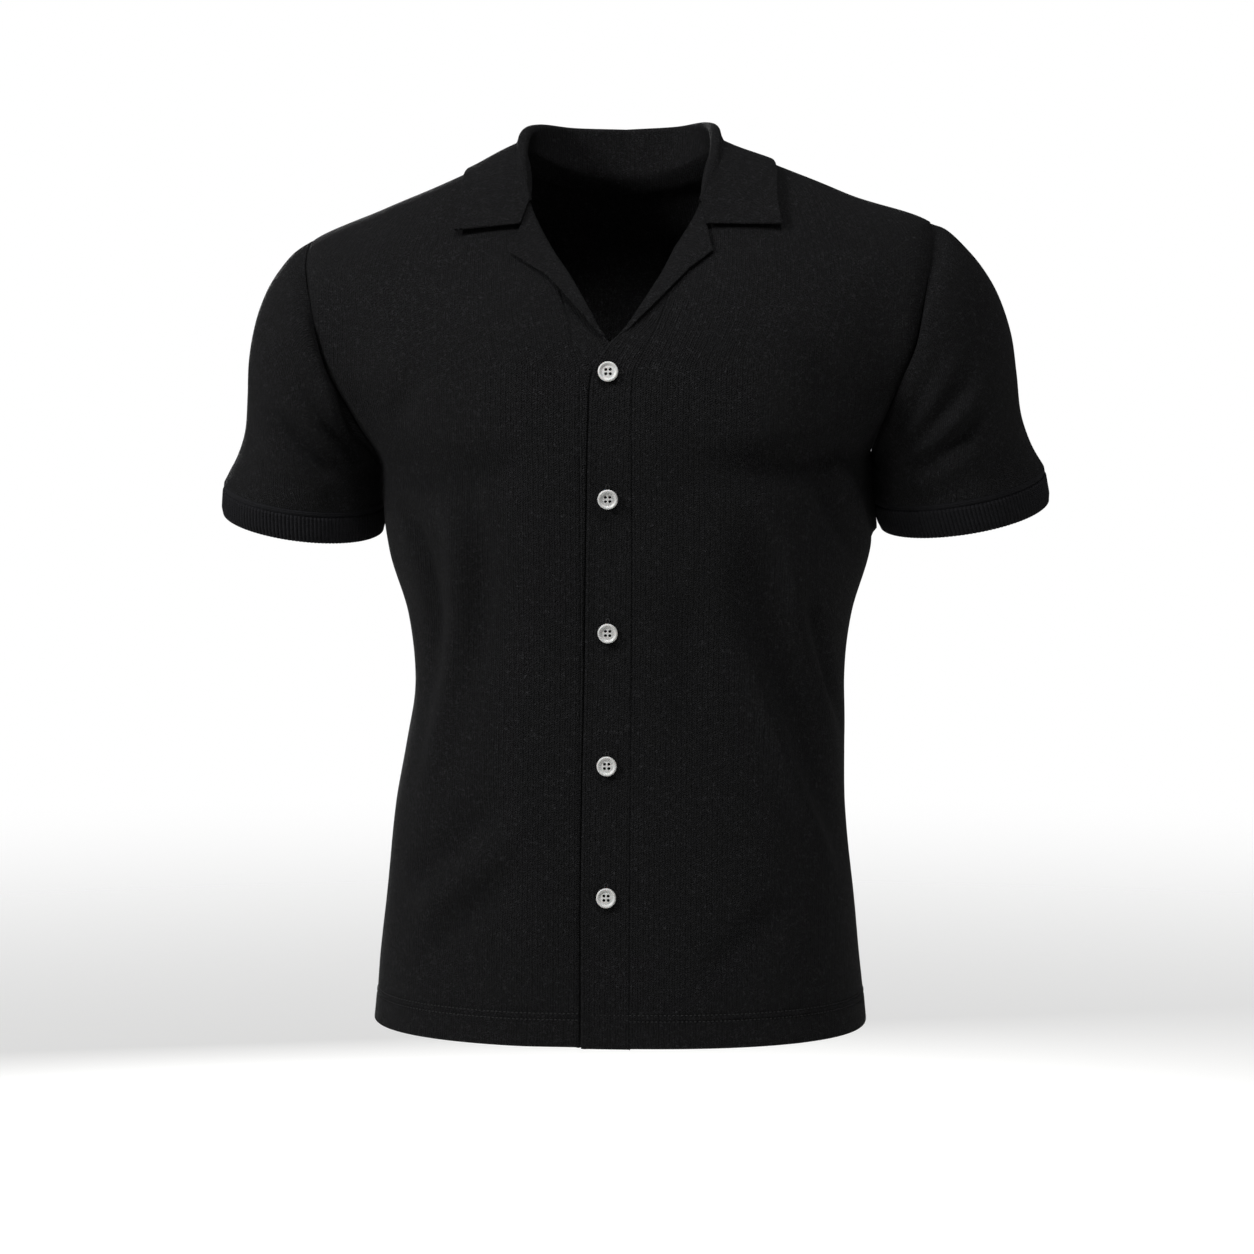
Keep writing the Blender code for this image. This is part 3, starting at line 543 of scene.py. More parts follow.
def sewingThread():
    # spun polyester thread: a little smoother than the knit, with a twist; it is coloured darker than the knit as
    # painted shade, for the shadow in the buttonhole slits
    material, tree, shader = newMaterial("spun_polyester_thread")
    place = addNode(tree, "ShaderNodeTexCoord").outputs["Object"]
    twist = addNode(tree, "ShaderNodeTexNoise", {"Vector": place, "Scale": 1500.0, "Detail": 2.0}).outputs["Fac"]
    bump = addNode(tree, "ShaderNodeBump", {"Height": twist, "Distance": 0.0001})
    # painted shade: the thread is coloured dark to stand in for the shadow in the buttonhole slits
    base = addNode(tree, "ShaderNodeMix", {0: twist, 6: colour("#050506"), 7: colour("#161618")}, data_type="RGBA")
    tree.links.new(base.outputs[2], shader.inputs["Base Color"])
    tree.links.new(bump.outputs["Normal"], shader.inputs["Normal"])
    shader.inputs["Roughness"].default_value = 0.6
    return material


def buttonResin():
    # cast polyester resin, turned and tumble-polished: pale, faintly clouded, softly glossy
    material, tree, shader = newMaterial("cast_polyester_button")
    place = addNode(tree, "ShaderNodeTexCoord").outputs["Object"]
    cloud = addNode(tree, "ShaderNodeTexNoise", {"Vector": place, "Scale": 210.0, "Detail": 3.0, "Distortion": 1.5})
    base = addNode(tree, "ShaderNodeMix", {0: cloud.outputs["Fac"], 6: colour("#c4c4c2"), 7: colour("#d8d8d6")},
                   data_type="RGBA")
    fine = addNode(tree, "ShaderNodeTexNoise", {"Vector": place, "Scale": 1600.0, "Detail": 2.0}).outputs["Fac"]
    rough = addNode(tree, "ShaderNodeMapRange", {"Value": fine, "To Min": 0.26, "To Max": 0.40}).outputs["Result"]
    bump = addNode(tree, "ShaderNodeBump", {"Height": fine, "Distance": 0.00002, "Strength": 0.5})
    tree.links.new(base.outputs[2], shader.inputs["Base Color"])
    tree.links.new(rough, shader.inputs["Roughness"])
    tree.links.new(bump.outputs["Normal"], shader.inputs["Normal"])
    shader.inputs["IOR"].default_value = 1.54
    shader.inputs["Subsurface Weight"].default_value = 0.02
    shader.inputs["Subsurface Scale"].default_value = 0.002
    return material


knitMaterial, ribMaterial, threadMaterial, resinMaterial = jerseyKnit(), ribKnit(), sewingThread(), buttonResin()
print("materials made")

# Body panels
panel = {"frontColumns": 86, "backColumns": 150, "sideRows": 124, "armholeRows": 74, "shoulderRows": 46}


def outerEnd(level, front):
    # the angle of the side seam, the armhole or the shoulder seam at each ring
    tip, armpit = form["tip"], form["armpit"]
    turn = np.arccos(np.clip((2.0 * level - tip - armpit) / (tip - armpit), -1.0, 1.0))
    angle = armholeAt(np.where(front, np.maximum(turn, 1e-9), -turn))[1]
    return np.where((level > armpit) & (level < tip), angle, 0.0)


def rowLevels():
    hem, tip = form["hem"], form["tip"]
    depth, gap, half = hemDetail["depth"], hemDetail["rowGap"], hemDetail["grooveWidth"]
    stitched = [row + half * k for row in (depth - gap, depth) for k in (-2.0, -1.0, -0.5, 0.0, 0.5, 1.0, 2.0)]
    low = hem + np.array([0.0, 0.002, 0.005, 0.008, 0.011, 0.014, *stitched, 0.0265])
    side = np.linspace(hem + 0.0295, form["armpit"] - 0.003, panel["sideRows"])
    turns = np.linspace(math.pi, 0.0, panel["armholeRows"])
    arm = armholeAt(turns)[0]
    fine = np.linspace(tip, form["neck"], 400)
    run = np.hypot(np.gradient(keysAlong(form["rings"], fine)[:, 0]), np.gradient(fine)).cumsum()
    shoulder = np.interp(np.linspace(run[0], run[-1], panel["shoulderRows"] + 1)[1:], run, fine)
    return np.concatenate([low, side, arm, shoulder])


def panelAngles(levels, start, end, columns, inset):
    # columns evenly spaced along each row, stopping short of both ends by the inset
    share = np.linspace(0.0, 1.0, 361)
    angles = start[:, None] + (end - start)[:, None] * share
    steps = np.linalg.norm(np.diff(ringPoint(levels[:, None], angles), axis=1), axis=-1)
    run = np.concatenate([np.zeros((len(levels), 1)), np.cumsum(steps, axis=1)], axis=1)
    wanted = [np.interp(np.linspace(inset, r[-1] - inset, columns), r, a) for r, a in zip(run, angles)]
    return np.array(wanted)


def tuckedIn(points):
    # the right front lies one layer deeper near the centre, under the left band
    x, z = np.abs(points[..., 0]), points[..., 2]
    return cloth["tuck"] * (1.0 - smoothStep(0.022, 0.070, x)) * (1.0 - smoothStep(-0.118, -0.098, z))


def mirrored(grid):
    return grid[:, ::-1] * np.array([-1.0, 1.0, 1.0])


def hemmed(grid):
    radius = cloth["thick"] + 0.0001
    return rolledOver(grid, "bottom", foldSection(radius, hemDetail["turnUp"]), ends=8)


def makeFronts():
    levels = rowLevels()
    inset = cloth["seamRoll"] + cloth["seamGap"]
    for side, seam in (("left", lines["bandSeam"]), ("right", lines["underSeam"])):
        angles = panelAngles(levels, meetLine(levels, seam), outerEnd(levels, True), panel["frontColumns"], inset)
        turned = angles if side == "left" else (math.pi - angles)[:, ::-1]
        level = np.broadcast_to(levels[:, None], turned.shape)
        deep = 0.0 if side == "left" else -tuckedIn(ringPoint(level, turned))
        grid = settle(bodyPoints(level, turned, deep))
        hemRows[side] = grid
        grid = rolledOver(rolledOver(grid, "left", seamSection()), "right", seamSection())
        grid = hemmed(grid)
        obj = clothPiece("frontPanel." + side, grid, knitMaterial, true=6 if side == "left" else -7)
        hand(obj, "knit", "front_" + side)


def makeBack():
    levels = rowLevels()
    inset = cloth["seamRoll"] + cloth["seamGap"]
    end = outerEnd(levels, False)
    angles = panelAngles(levels, end, -math.pi - end, panel["backColumns"], inset)
    level = np.broadcast_to(levels[:, None], angles.shape)
    grid = settle(bodyPoints(level, angles))
    hemRows["back"] = grid
    grid = rolledOver(rolledOver(grid, "left", seamSection()), "right", seamSection())
    grid = hemmed(grid)
    obj = clothPiece("backPanel", grid, knitMaterial, true=panel["backColumns"] // 2)
    hand(obj, "knit", "back")


hemRows = {}
makeFronts()
makeBack()
print("body panels made")

# Bands and lapels
band = {"thick": 0.0016, "columns": 22, "rows": 236, "low": -0.6565, "high": -0.0500, "curl": 0.0010,
        "press": 0.0030, "pressWidth": 0.0011}
lapel = {"rows": 76, "columns": 34, "roll": 0.0018, "low": (-0.1440, -0.0494), "high": (-0.1440, -0.0846), "skew": (0.0018, 0.0022),
         "puff": 0.0012, "turnColumns": 9}


def bandGrid(edge, deepBy, seamLine):
    z = np.linspace(band["low"], band["high"], band["rows"])[:, None]
    seam = keysAlong(seamLine, np.maximum(z, seamLine[0][0]))[..., 0] - cloth["seamRoll"] - cloth["seamGap"]
    free = keysAlong(edge, z)[..., 0] + (lapel["roll"] - 0.0004) * smoothStep(-0.150, -0.138, z)
    share = np.linspace(0.0, 1.0, band["columns"])
    if deepBy:  # finer where the left band's edge presses into it
        share = np.concatenate([np.linspace(0.0, 0.70, 12)[:-1], np.linspace(0.70, 1.0, 26)])
    x = free + (seam - free) * share
    level, angle = onFront(x, np.broadcast_to(z, x.shape))
    deep = deepBy * (1.0 - smoothStep(-0.118, -0.098, z)) * np.ones_like(x)
    if deepBy:
        over = -keysAlong(lines["freeEdge"], np.minimum(z, lines["freeEdge"][-1][0]))[..., 0]
        press = band["press"] * (1.0 - smoothStep(-0.175, -0.163, z))
        deep = deep + press * np.exp(-(((x - over - 0.0008) / band["pressWidth"]) ** 2))
    curl = band["curl"] * (1.0 - smoothStep(0.0, 0.006, x - free)) * (1.0 - smoothStep(-0.160, -0.146, z))
    return level, angle, (curl if deepBy == 0.0 else 0.0) - deep


def makeBands():
    for side, edge, deepBy, seam in (("left", lines["freeEdge"] + lines["fold"], 0.0, lines["bandSeam"]),
                                     ("right", lines["underEdge"] + lines["fold"], cloth["tuck"], lines["underSeam"])):
        level, angle, deep = bandGrid(edge, deepBy, seam)
        if side == "right":
            level, angle, deep = level[:, ::-1], math.pi - angle[:, ::-1], deep[:, ::-1]
        grid = settle(bodyPoints(level, angle, deep))
        grid = rolledOver(grid, "right" if side == "left" else "left", seamSection())
        obj = clothPiece("frontBand." + side, grid, knitMaterial, thick=band["thick"], true=0 if side == "left" else -1)
        hand(obj, "knit", "band_" + side)


def lapelGrid(side):
    # a lapel on the plain form, as a left one: first the half turn at the fold, then the face out to its edge
    t = np.linspace(0.0, 1.0, lapel["rows"])[:, None]
    w = np.linspace(0.0, 1.0, lapel["columns"])[None, :]
    skew = -1.0 if side == "left" else 1.0
    low = lapel["low"][0] + (lapel["low"][1] + skew * lapel["skew"][0] - lapel["low"][0]) * t
    high = lapel["high"][0] + (lapel["high"][1] + skew * lapel["skew"][1] - lapel["high"][0]) * t
    radius = lapel["roll"] * (0.5 + 0.5 * smoothStep(0.0, 0.16, t))
    foldX = keysAlong(lines["fold"], low)[..., 0] + radius - 0.0004
    edgeX = np.maximum(keysAlong(lines["lapelEdge"], high)[..., 0], foldX + 0.0004)
    x, z = foldX + (edgeX - foldX) * w, low + (high - low) * w
    level, angle = onFront(x, z)
    puff = lapel["puff"] * np.sin(math.pi * np.minimum(1.0, 0.5 * w + 0.1)) * smoothStep(0.0, 0.3, t)
    grid = bodyPoints(level, angle, -0.0016 + 2.0 * radius + puff)
    normals = gridNormals(grid)[:, 0]
    inward = grid[:, 0] - grid[:, 1]
    along = unit(np.gradient(grid[:, 0], axis=0))
    inward = unit(inward - (inward * along).sum(-1, keepdims=True) * along)
    turns = [grid[:, 0] + radius * (inward * math.sin(a) - normals * (1.0 - math.cos(a)))
             for a in np.radians(np.linspace(180, 20, lapel["turnColumns"]))]
    thick = np.minimum(cloth["thick"], 1.3 * radius) * np.ones((lapel["rows"], lapel["columns"] + lapel["turnColumns"]))
    return np.concatenate([np.stack(turns, axis=1), grid], axis=1), thick


def makeLapels():
    for side in ("left", "right"):
        plain, thick = lapelGrid(side)
        grid = settle(plain if side == "left" else mirrored(plain))
        obj = clothPiece("lapel." + side, grid, knitMaterial, thick=thick if side == "left" else thick[:, ::-1],
                         true=9 if side == "left" else -10)
        hand(obj, "knit", "lapel_" + side)


makeBands()
makeLapels()
print("bands and lapels made")

# Collar
collar = {
    "roll": [(0.000, 0.0715, 0.0110), (0.039, 0.0605, 0.0120), (0.0640, 0.0300, 0.0132), (0.0715, -0.002, 0.0062),
             (0.0710, -0.030, -0.0140), (0.0650, -0.0540, -0.0430)],
    "foot": [(0.000, 0.0630, -0.0190), (0.0345, 0.0545, -0.0150), (0.0585, 0.0330, -0.0070), (0.0700, 0.002, -0.0005),
             (0.0690, -0.030, -0.0175), (0.0655, -0.0485, -0.0430)],
    "edge": [(0.0, -0.0130, -90.0), (0.2, -0.0132, -62.0), (0.4, -0.0152, -30.0), (0.6, -0.0194, 2.0),
             (0.8, -0.0268, 27.5), (1.0, -0.0378, 41.3)],  # share of the length, ring, degrees from the side
    "fold": 0.0032,  # radius of the fold
    "clear": 0.0041,  # from the panel's face to the collar's
    "sag": 0.0110,  # the fall drops steeply from the fold, then lies on the shoulder
    "rest": 0.0018,
    "level": 0.018,  # the collar stays more level than the shoulders
    "skew": 0.0012,
    "gorge": 0.53,  # share of the lapel's top edge that is linked to the collar
    "thick": 0.0015,
    "stations": 110,
}


def shoulderUnder(points):
    # (ring, angle) of the shoulder straight below a point
    x, y = np.abs(points[..., 0]), points[..., 1]
    low, high = np.full(x.shape, -0.066), np.zeros(x.shape)
    for _ in range(30):
        mid = 0.5 * (low + high)
        width, front, back, _dip, _dip, square = np.moveaxis(keysAlong(form["rings"], mid), -1, 0)
        depth = np.where(y < 0.0, front, back)
        inside = (x / width) ** square + (np.abs(y) / depth) ** square < 1.0
        low, high = np.where(inside, mid, low), np.where(inside, high, mid)
    return low, np.arctan2(-y / depth, x / width)


def collarGrid(side):
    t = np.linspace(0.0, 1.0, collar["stations"])
    roll, foot = pathPoint(collar["roll"], t), pathPoint(collar["foot"], t)
    level, degrees = np.moveaxis(keysAlong(collar["edge"], t), -1, 0)
    level = level + collar["skew"] * (-1.0 if side == "left" else 1.0) * smoothStep(0.5, 1.0, t)
    angle = np.radians(degrees)
    up = bodyNormal(level, angle)
    edge = ringPoint(level, angle) + up * (collar["rest"] + (collar["clear"] - collar["rest"]) * smoothStep(0.65, 0.85, t))[:, None]
    up[:, 2] += 0.6 * (1.0 - smoothStep(0.5, 1.0, t))
    up = unit(up)
    out = edge - roll
    out = unit(out - up * (out * up).sum(-1, keepdims=True))
    centre = roll - up * collar["fold"]
    stand = centre - out * collar["fold"]
    # the allowance turns down inside the neck, against the panels
    around = np.arctan2(-foot[:, 1] / 0.061, foot[:, 0] / 0.069)
    inside = [(-0.011, -0.0034), (-0.0075, -0.0032), (-0.0045, -0.0028), (-0.0025, -0.0022)]
    section = [ringPoint(np.full(t.shape, rise), around) + bodyNormal(np.full(t.shape, rise), around) * deep
               for rise, deep in inside]
    section += [section[-1] + (stand - section[-1]) * share for share in np.linspace(0.0, 0.94, 12)[1:]]
    for a in np.radians(np.linspace(180.0, 50.0, 14)):
        section.append(centre + (out * math.cos(a) + up * math.sin(a)) * collar["fold"])
    start = section[-1]
    for w in np.linspace(0.0, 1.0, 29)[1:]:
        sag = collar["sag"] * (1.0 - 0.75 * smoothStep(0.70, 0.95, t))[:, None]
        section.append(start + (edge - start) * w - up * sag * math.sin(math.pi * w**0.8) * (1.0 - 0.4 * w))
    grid = np.stack(section, axis=1)
    # the front end is linked to the lapel's top along the gorge, then leaves it at the notch
    end = lapelGrid(side)[0][-1]
    turn, face = end[:lapel["turnColumns"]], end[lapel["turnColumns"]:]
    tuck = unit(face[4] - face[0]) * 0.004
    share = np.linspace(0.0, 1.0, 15)[:, None]
    target = [turn[0] + tuck * (1.0 - share)]
    target.append(turn[np.clip(np.round(np.linspace(0, len(turn) - 1, 14)).astype(int), 0, len(turn) - 1)])
    gorge = face[np.round(np.linspace(0, collar["gorge"] * (lapel["columns"] - 1), 13)).astype(int)[1:]]
    free = gorge[-1] + (edge[-1] - gorge[-1]) * np.linspace(0.0, 1.0, 17)[1:, None]
    target = np.concatenate([*target, gorge, free])
    target += unit(np.array([0.18, 0.10, 1.0])) * 0.0016
    share = smoothStep(0.74, 1.0, t)[:, None, None] ** 1.5
    grid = grid * (1.0 - share) + target * share
    # the fall rests on the shoulder and the front
    fall = grid[:, 29:]
    level, angle = shoulderUnder(fall)
    normal = bodyNormal(level, angle)
    rest = ringPoint(level, angle)[..., 2] + collar["rest"] / np.maximum(normal[..., 2], 0.4)
    near = smoothStep(-0.064, -0.050, level) * (1.0 - share[..., 0])
    fall[..., 2] += np.maximum(rest - fall[..., 2], 0.0) * near
    level, angle = onFront(np.maximum(fall[..., 0], 0.0), fall[..., 2])
    clear = collar["clear"] - (collar["clear"] - cloth["layer"]) * share[..., 0] * (
        1.0 - smoothStep(0.25, 0.9, np.linspace(0.0, 1.0, fall.shape[1])))
    rest = ringPoint(level, angle) + bodyNormal(level, angle) * clear[..., None]
    fall[..., 1] = np.where(t[:, None] > 0.6, np.minimum(fall[..., 1], rest[..., 1]), fall[..., 1])
    high = 1.0 - smoothStep(36.0, 56.0, np.arange(grid.shape[1]))
    grid[..., 2] += collar["level"] * grid[..., 0] * high * (-1.0 if side == "left" else 1.0) * (1.0 - share[..., 0])
    return grid


def makeCollar():
    half, other = collarGrid("left"), collarGrid("right")
    other = other[:0:-1] * np.array([-1.0, 1.0, 1.0])
    grid = settle(np.concatenate([other, half]).transpose(1, 0, 2)[::-1])
    obj = clothPiece("collar", grid, knitMaterial, thick=collar["thick"], true=collar["stations"] - 1)
    hand(obj, "knit", "collar")


makeCollar()
print("collar made")

# Sleeves and cuffs
sleeve = {
    "outside": [(0.2420, 0.000, -0.074), (0.2550, 0.001, -0.087), (0.2650, 0.002, -0.101), (0.2745, 0.004, -0.121),
                (0.2820, 0.006, -0.148), (0.2855, 0.009, -0.176), (0.2895, 0.012, -0.206), (0.2975, 0.015, -0.228)],
    "front": [(0.222, -0.068, -0.158), (0.236, -0.072, -0.180), (0.244, -0.070, -0.215)],
    "underarm": [(0.1835, 0.003, -0.245)],
    "back": [(0.222, 0.072, -0.156), (0.238, 0.078, -0.178), (0.247, 0.081, -0.215)],
    "columns": 152, "rows": 74,
}
cuff = {
    "centre": (0.2490, 0.012, -0.279), "out": (0.0620, 0.000, 0.0095), "forward": (0.000, -0.066, -0.0120),
    "depth": 0.024, "thick": 0.0019, "plainTop": 0.0042,  # the linked edge above the ribs
    "ribs": 132, "perRib": 8, "ribDepth": 0.0014,
}
# Creases of the sleeves, as (turn, share of the length): they fan out and up from the armpit
sleeveCreases = {
    "right": [
        {"line": [(2.62, 0.14), (2.25, 0.09), (1.90, 0.06), (1.45, 0.05)], "width": (0.006, 0.008), "height": -0.0034},
        {"line": [(2.52, 0.22), (2.20, 0.17), (1.85, 0.14), (1.40, 0.12)], "width": (0.007, 0.009), "height": 0.0031},
        {"line": [(2.55, 0.31), (2.12, 0.26), (1.76, 0.24), (1.28, 0.20)], "width": (0.008, 0.010), "height": -0.0048},
        {"line": [(2.45, 0.48), (2.05, 0.41), (1.65, 0.38), (1.05, 0.37)], "width": (0.009, 0.012), "height": 0.0042},
        {"line": [(2.36, 0.66), (1.98, 0.57), (1.60, 0.53), (0.95, 0.52)], "width": (0.009, 0.012), "height": -0.0050},
        {"line": [(2.32, 0.80), (2.00, 0.73), (1.60, 0.69), (1.05, 0.69)], "width": (0.009, 0.011), "height": 0.0036},
        {"line": [(1.00, 0.12), (1.60, 0.12), (2.30, 0.16)], "width": (0.020, 0.018), "height": 0.0040, "rise": 0.2,
         "fade": 0.4},
        {"line": [(-2.45, 0.28), (-1.95, 0.23), (-1.40, 0.17)], "width": (0.008, 0.010), "height": -0.0042},
        {"line": [(-2.42, 0.42), (-1.88, 0.36), (-1.30, 0.30)], "width": (0.009, 0.011), "height": 0.0039},
        {"line": [(-2.36, 0.57), (-1.80, 0.51), (-1.15, 0.46)], "width": (0.009, 0.012), "height": -0.0045},
        {"line": [(-2.30, 0.74), (-1.75, 0.67), (-1.15, 0.62)], "width": (0.010, 0.011), "height": 0.0034},
    ],
    "left": [
        {"line": [(2.42, 0.30), (1.97, 0.25), (1.62, 0.20), (1.25, 0.16)], "width": (0.007, 0.009), "height": -0.0036},
        {"line": [(2.40, 0.38), (1.90, 0.34), (1.54, 0.30), (1.18, 0.25)], "width": (0.008, 0.009), "height": 0.0045},
        {"line": [(2.40, 0.47), (1.86, 0.44), (1.46, 0.40), (1.08, 0.34)], "width": (0.008, 0.010), "height": -0.0053},
        {"line": [(2.36, 0.56), (1.83, 0.54), (1.40, 0.52), (1.00, 0.46)], "width": (0.008, 0.011), "height": 0.0050},
        {"line": [(2.36, 0.65), (1.81, 0.66), (1.31, 0.64), (0.90, 0.57)], "width": (0.008, 0.011), "height": -0.0050},
        {"line": [(2.30, 0.76), (1.74, 0.77), (1.15, 0.74)], "width": (0.009, 0.011), "height": 0.0031},
        {"line": [(-2.42, 0.26), (-1.90, 0.20), (-1.35, 0.15)], "width": (0.008, 0.010), "height": -0.0039},
        {"line": [(-2.40, 0.40), (-1.86, 0.33), (-1.28, 0.27)], "width": (0.009, 0.011), "height": 0.0042},
        {"line": [(-2.38, 0.54), (-1.82, 0.48), (-1.18, 0.41)], "width": (0.009, 0.012), "height": -0.0048},
        {"line": [(-2.30, 0.70), (-1.75, 0.65), (-1.10, 0.59)], "width": (0.010, 0.011), "height": 0.0034},
        {"line": [(0.30, 0.08), (0.50, 0.50), (0.60, 0.90)], "width": (0.045, 0.045), "height": 0.0036, "rise": 0.5,
         "fade": 0.5},
        {"line": [(1.00, 0.12), (1.60, 0.12), (2.30, 0.16)], "width": (0.020, 0.018), "height": 0.0040, "rise": 0.2,
         "fade": 0.4},
        {"line": [(3.14, 0.05), (3.14, 0.50), (3.14, 0.99)], "width": (0.022, 0.022), "height": 0.0026, "rise": 0.1,
         "fade": 0.01},
    ],
}


def ontoSleeve(crease, side):
    turn, t = np.array(crease["line"]).T
    points = sleevePoints(t, turn)
    middle = sleevePoints(np.array([t.mean()] * 24), np.linspace(-math.pi, math.pi, 24, endpoint=False)).mean(axis=0)
    flip = np.array([1.0 if side == "left" else -1.0, 1.0, 1.0])
    return {**crease, "line": points * flip, "face": unit(points[len(points) // 2] - middle) * flip}


def cuffAxis():
    axis = np.cross(cuff["forward"], cuff["out"])
    axis = axis / np.linalg.norm(axis)
    return axis if axis[2] > 0.0 else -axis


def sleevePoints(t, turn):
    seam = ringPoint(*armholeAt(np.where(np.abs(turn) < 1e-9, 1e-9, turn)))
    quarters = [ringPoint(*armholeAt(np.array(a))) for a in (1e-9, 0.5 * math.pi, math.pi, -0.5 * math.pi)]
    out, forward = np.array(cuff["out"]), np.array(cuff["forward"])
    top = np.array(cuff["centre"]) + cuffAxis() * cuff["depth"]
    ends = (top + out, top + forward, top - out, top - forward)
    keys = ("outside", "front", "underarm", "back")

    def loop(t):
        a, b, c, d = (pathPoint([quarter, *sleeve[key], end], t) for quarter, key, end in zip(quarters, keys, ends))
        k, s = np.cos(turn)[..., None], np.sin(turn)[..., None]
        return (a + c) * 0.5 * k * k + (b + d) * 0.5 * s * s + (a - c) * 0.5 * k + (b - d) * 0.5 * s

    return loop(t) + (seam - loop(np.zeros_like(t))) * ((1.0 - t) ** 2)[..., None]


def makeSleeves():
    turn = np.linspace(math.pi - 0.015, -math.pi + 0.015, sleeve["columns"])[None, :]
    t = np.linspace(0.995, 0.0058, sleeve["rows"])[:, None]
    t, turn = np.broadcast_arrays(t, turn)
    plainLeft = sleevePoints(t, turn)
    for side in ("left", "right"):
        folds = [ontoSleeve(crease, side) for crease in sleeveCreases[side]]
        plain = plainLeft if side == "left" else plainLeft[:, ::-1] * np.array([-1.0, 1.0, 1.0])
        lift = slack(plain) * smoothStep(0.0, 0.06, t) * (1.0 - smoothStep(0.94, 1.0, t))
        lift = lift + creaseLift(plain, folds) * smoothStep(0.0, 0.05, t) * (1.0 - smoothStep(0.90, 1.0, t))
        grid = settle(plain + gridNormals(plain) * lift[..., None])
        for edge in ("left", "right", "top", "bottom"):
            grid = rolledOver(grid, edge, seamSection())
        obj = clothPiece("sleeve." + side, grid, knitMaterial, true=sleeve["columns"] // 2 + 6)
        hand(obj, "knit", "sleeve_" + side)


def ribTree():
    # pushes the face of a cuff out into ribs: "around" counts ribs, "ribbed" fades them
    tree = bpy.data.node_groups.new("ribbing", "GeometryNodeTree")
    tree.interface.new_socket("Geometry", in_out="INPUT", socket_type="NodeSocketGeometry")
    tree.interface.new_socket("Rib depth", in_out="INPUT", socket_type="NodeSocketFloat").default_value = 0.001
    tree.interface.new_socket("Material", in_out="INPUT", socket_type="NodeSocketMaterial")
    tree.interface.new_socket("Geometry", in_out="OUTPUT", socket_type="NodeSocketGeometry")
    given = addNode(tree, "NodeGroupInput")
    around = addNode(tree, "GeometryNodeInputNamedAttribute", {"Name": "around"}).outputs["Attribute"]
    ribbed = addNode(tree, "GeometryNodeInputNamedAttribute", {"Name": "ribbed"}).outputs["Attribute"]
    wave = addNode(tree, "ShaderNodeMath", {0: around, 1: math.pi}, operation="MULTIPLY").outputs[0]
    wave = addNode(tree, "ShaderNodeMath", {0: wave}, operation="SINE").outputs[0]
    wave = addNode(tree, "ShaderNodeMath", {0: wave}, operation="ABSOLUTE").outputs[0]
    wave = addNode(tree, "ShaderNodeMath", {0: wave, 1: 0.75}, operation="POWER").outputs[0]
    wave = addNode(tree, "ShaderNodeMath", {0: wave, 1: 0.5}, operation="SUBTRACT").outputs[0]
    wave = addNode(tree, "ShaderNodeMath", {0: wave, 1: ribbed}, operation="MULTIPLY").outputs[0]
    wave = addNode(tree, "ShaderNodeMath", {0: wave, 1: given.outputs["Rib depth"]}, operation="MULTIPLY").outputs[0]
    normal = addNode(tree, "GeometryNodeInputNormal").outputs[0]
    offset = addNode(tree, "ShaderNodeVectorMath", {0: normal, "Scale": wave}, operation="SCALE").outputs[0]
    moved = addNode(tree, "GeometryNodeSetPosition", {"Geometry": given.outputs["Geometry"], "Offset": offset})
    whole = addNode(tree, "GeometryNodeRealizeInstances", {"Geometry": moved.outputs["Geometry"]})
    done = addNode(tree, "GeometryNodeSetMaterial", {"Geometry": whole.outputs["Geometry"],
                                                     "Material": given.outputs["Material"]})
    addNode(tree, "NodeGroupOutput", {"Geometry": done.outputs["Geometry"]})
    return tree


def grown(obj, tree, values):
    # runs a Geometry Nodes tree on a piece and keeps the result as a plain mesh
    modifier = obj.modifiers.new(tree.name, "NODES")
    modifier.node_group = tree
    for item in tree.interface.items_tree:
        if item.item_type == "SOCKET" and item.in_out == "INPUT" and item.name in values:
            modifier[item.identifier] = values[item.name]
    graph = bpy.context.evaluated_depsgraph_get()
    mesh = bpy.data.meshes.new_from_object(obj.evaluated_get(graph), preserve_all_data_layers=True, depsgraph=graph)
    obj.modifiers.remove(modifier)
    old, obj.data = obj.data, mesh
    mesh.name = obj.name
    bpy.data.meshes.remove(old)
    return obj


def makeCuffs(tree):
    depth, plainTop = cuff["depth"], cuff["plainTop"]
    down = np.array([0.9935, 0.97, 0.90, 0.78, 0.66, 0.54, 0.42, 0.31, 0.245, 0.205, 0.18, 0.155, 0.12, 0.07, 0.035, 0.012])
    share = np.linspace(0.0, 1.0, cuff["ribs"] * cuff["perRib"] + 1)[None, :]
    turn = math.pi - 0.0015 - (2.0 * math.pi - 0.003) * share
    axis, out, forward = cuffAxis(), np.array(cuff["out"]), np.array(cuff["forward"])
    centre = np.array(cuff["centre"]) + axis * depth * (1.0 - down[:, None, None])
    plain = centre + out * np.cos(turn)[..., None] + forward * np.sin(turn)[..., None]
    start = plainTop / depth
    ribbed = smoothStep(start - 0.01, start + 0.05, down)[:, None] * np.ones_like(share)
    groove = 0.0010 * np.exp(-(((down - start) * depth / 0.0006) ** 2))[:, None]
    nip = 0.0012 * smoothStep(0.75, 1.0, down)[:, None]
    for side in ("left", "right"):
        base = plain if side == "left" else plain[:, ::-1] * np.array([-1.0, 1.0, 1.0])
        grid = settle(base - gridNormals(base) * (groove + nip)[..., None])
        grid = rolledOver(grid, "top", seamSection())
        extra = grid.shape[0] - len(down)
        around = np.broadcast_to(share * cuff["ribs"], grid.shape[:2])
        fade = np.concatenate([ribbed, np.zeros((extra, ribbed.shape[1]))])
        obj = clothPiece("ribCuff." + side, grid, ribMaterial, thick=cuff["thick"], true=grid.shape[1] // 2,
                         attributes={"around": (around, around), "ribbed": (fade, -0.6 * fade)})
        grown(obj, tree, {"Rib depth": cuff["ribDepth"], "Material": ribMaterial})
        hand(obj, "rib", "cuff_" + side)


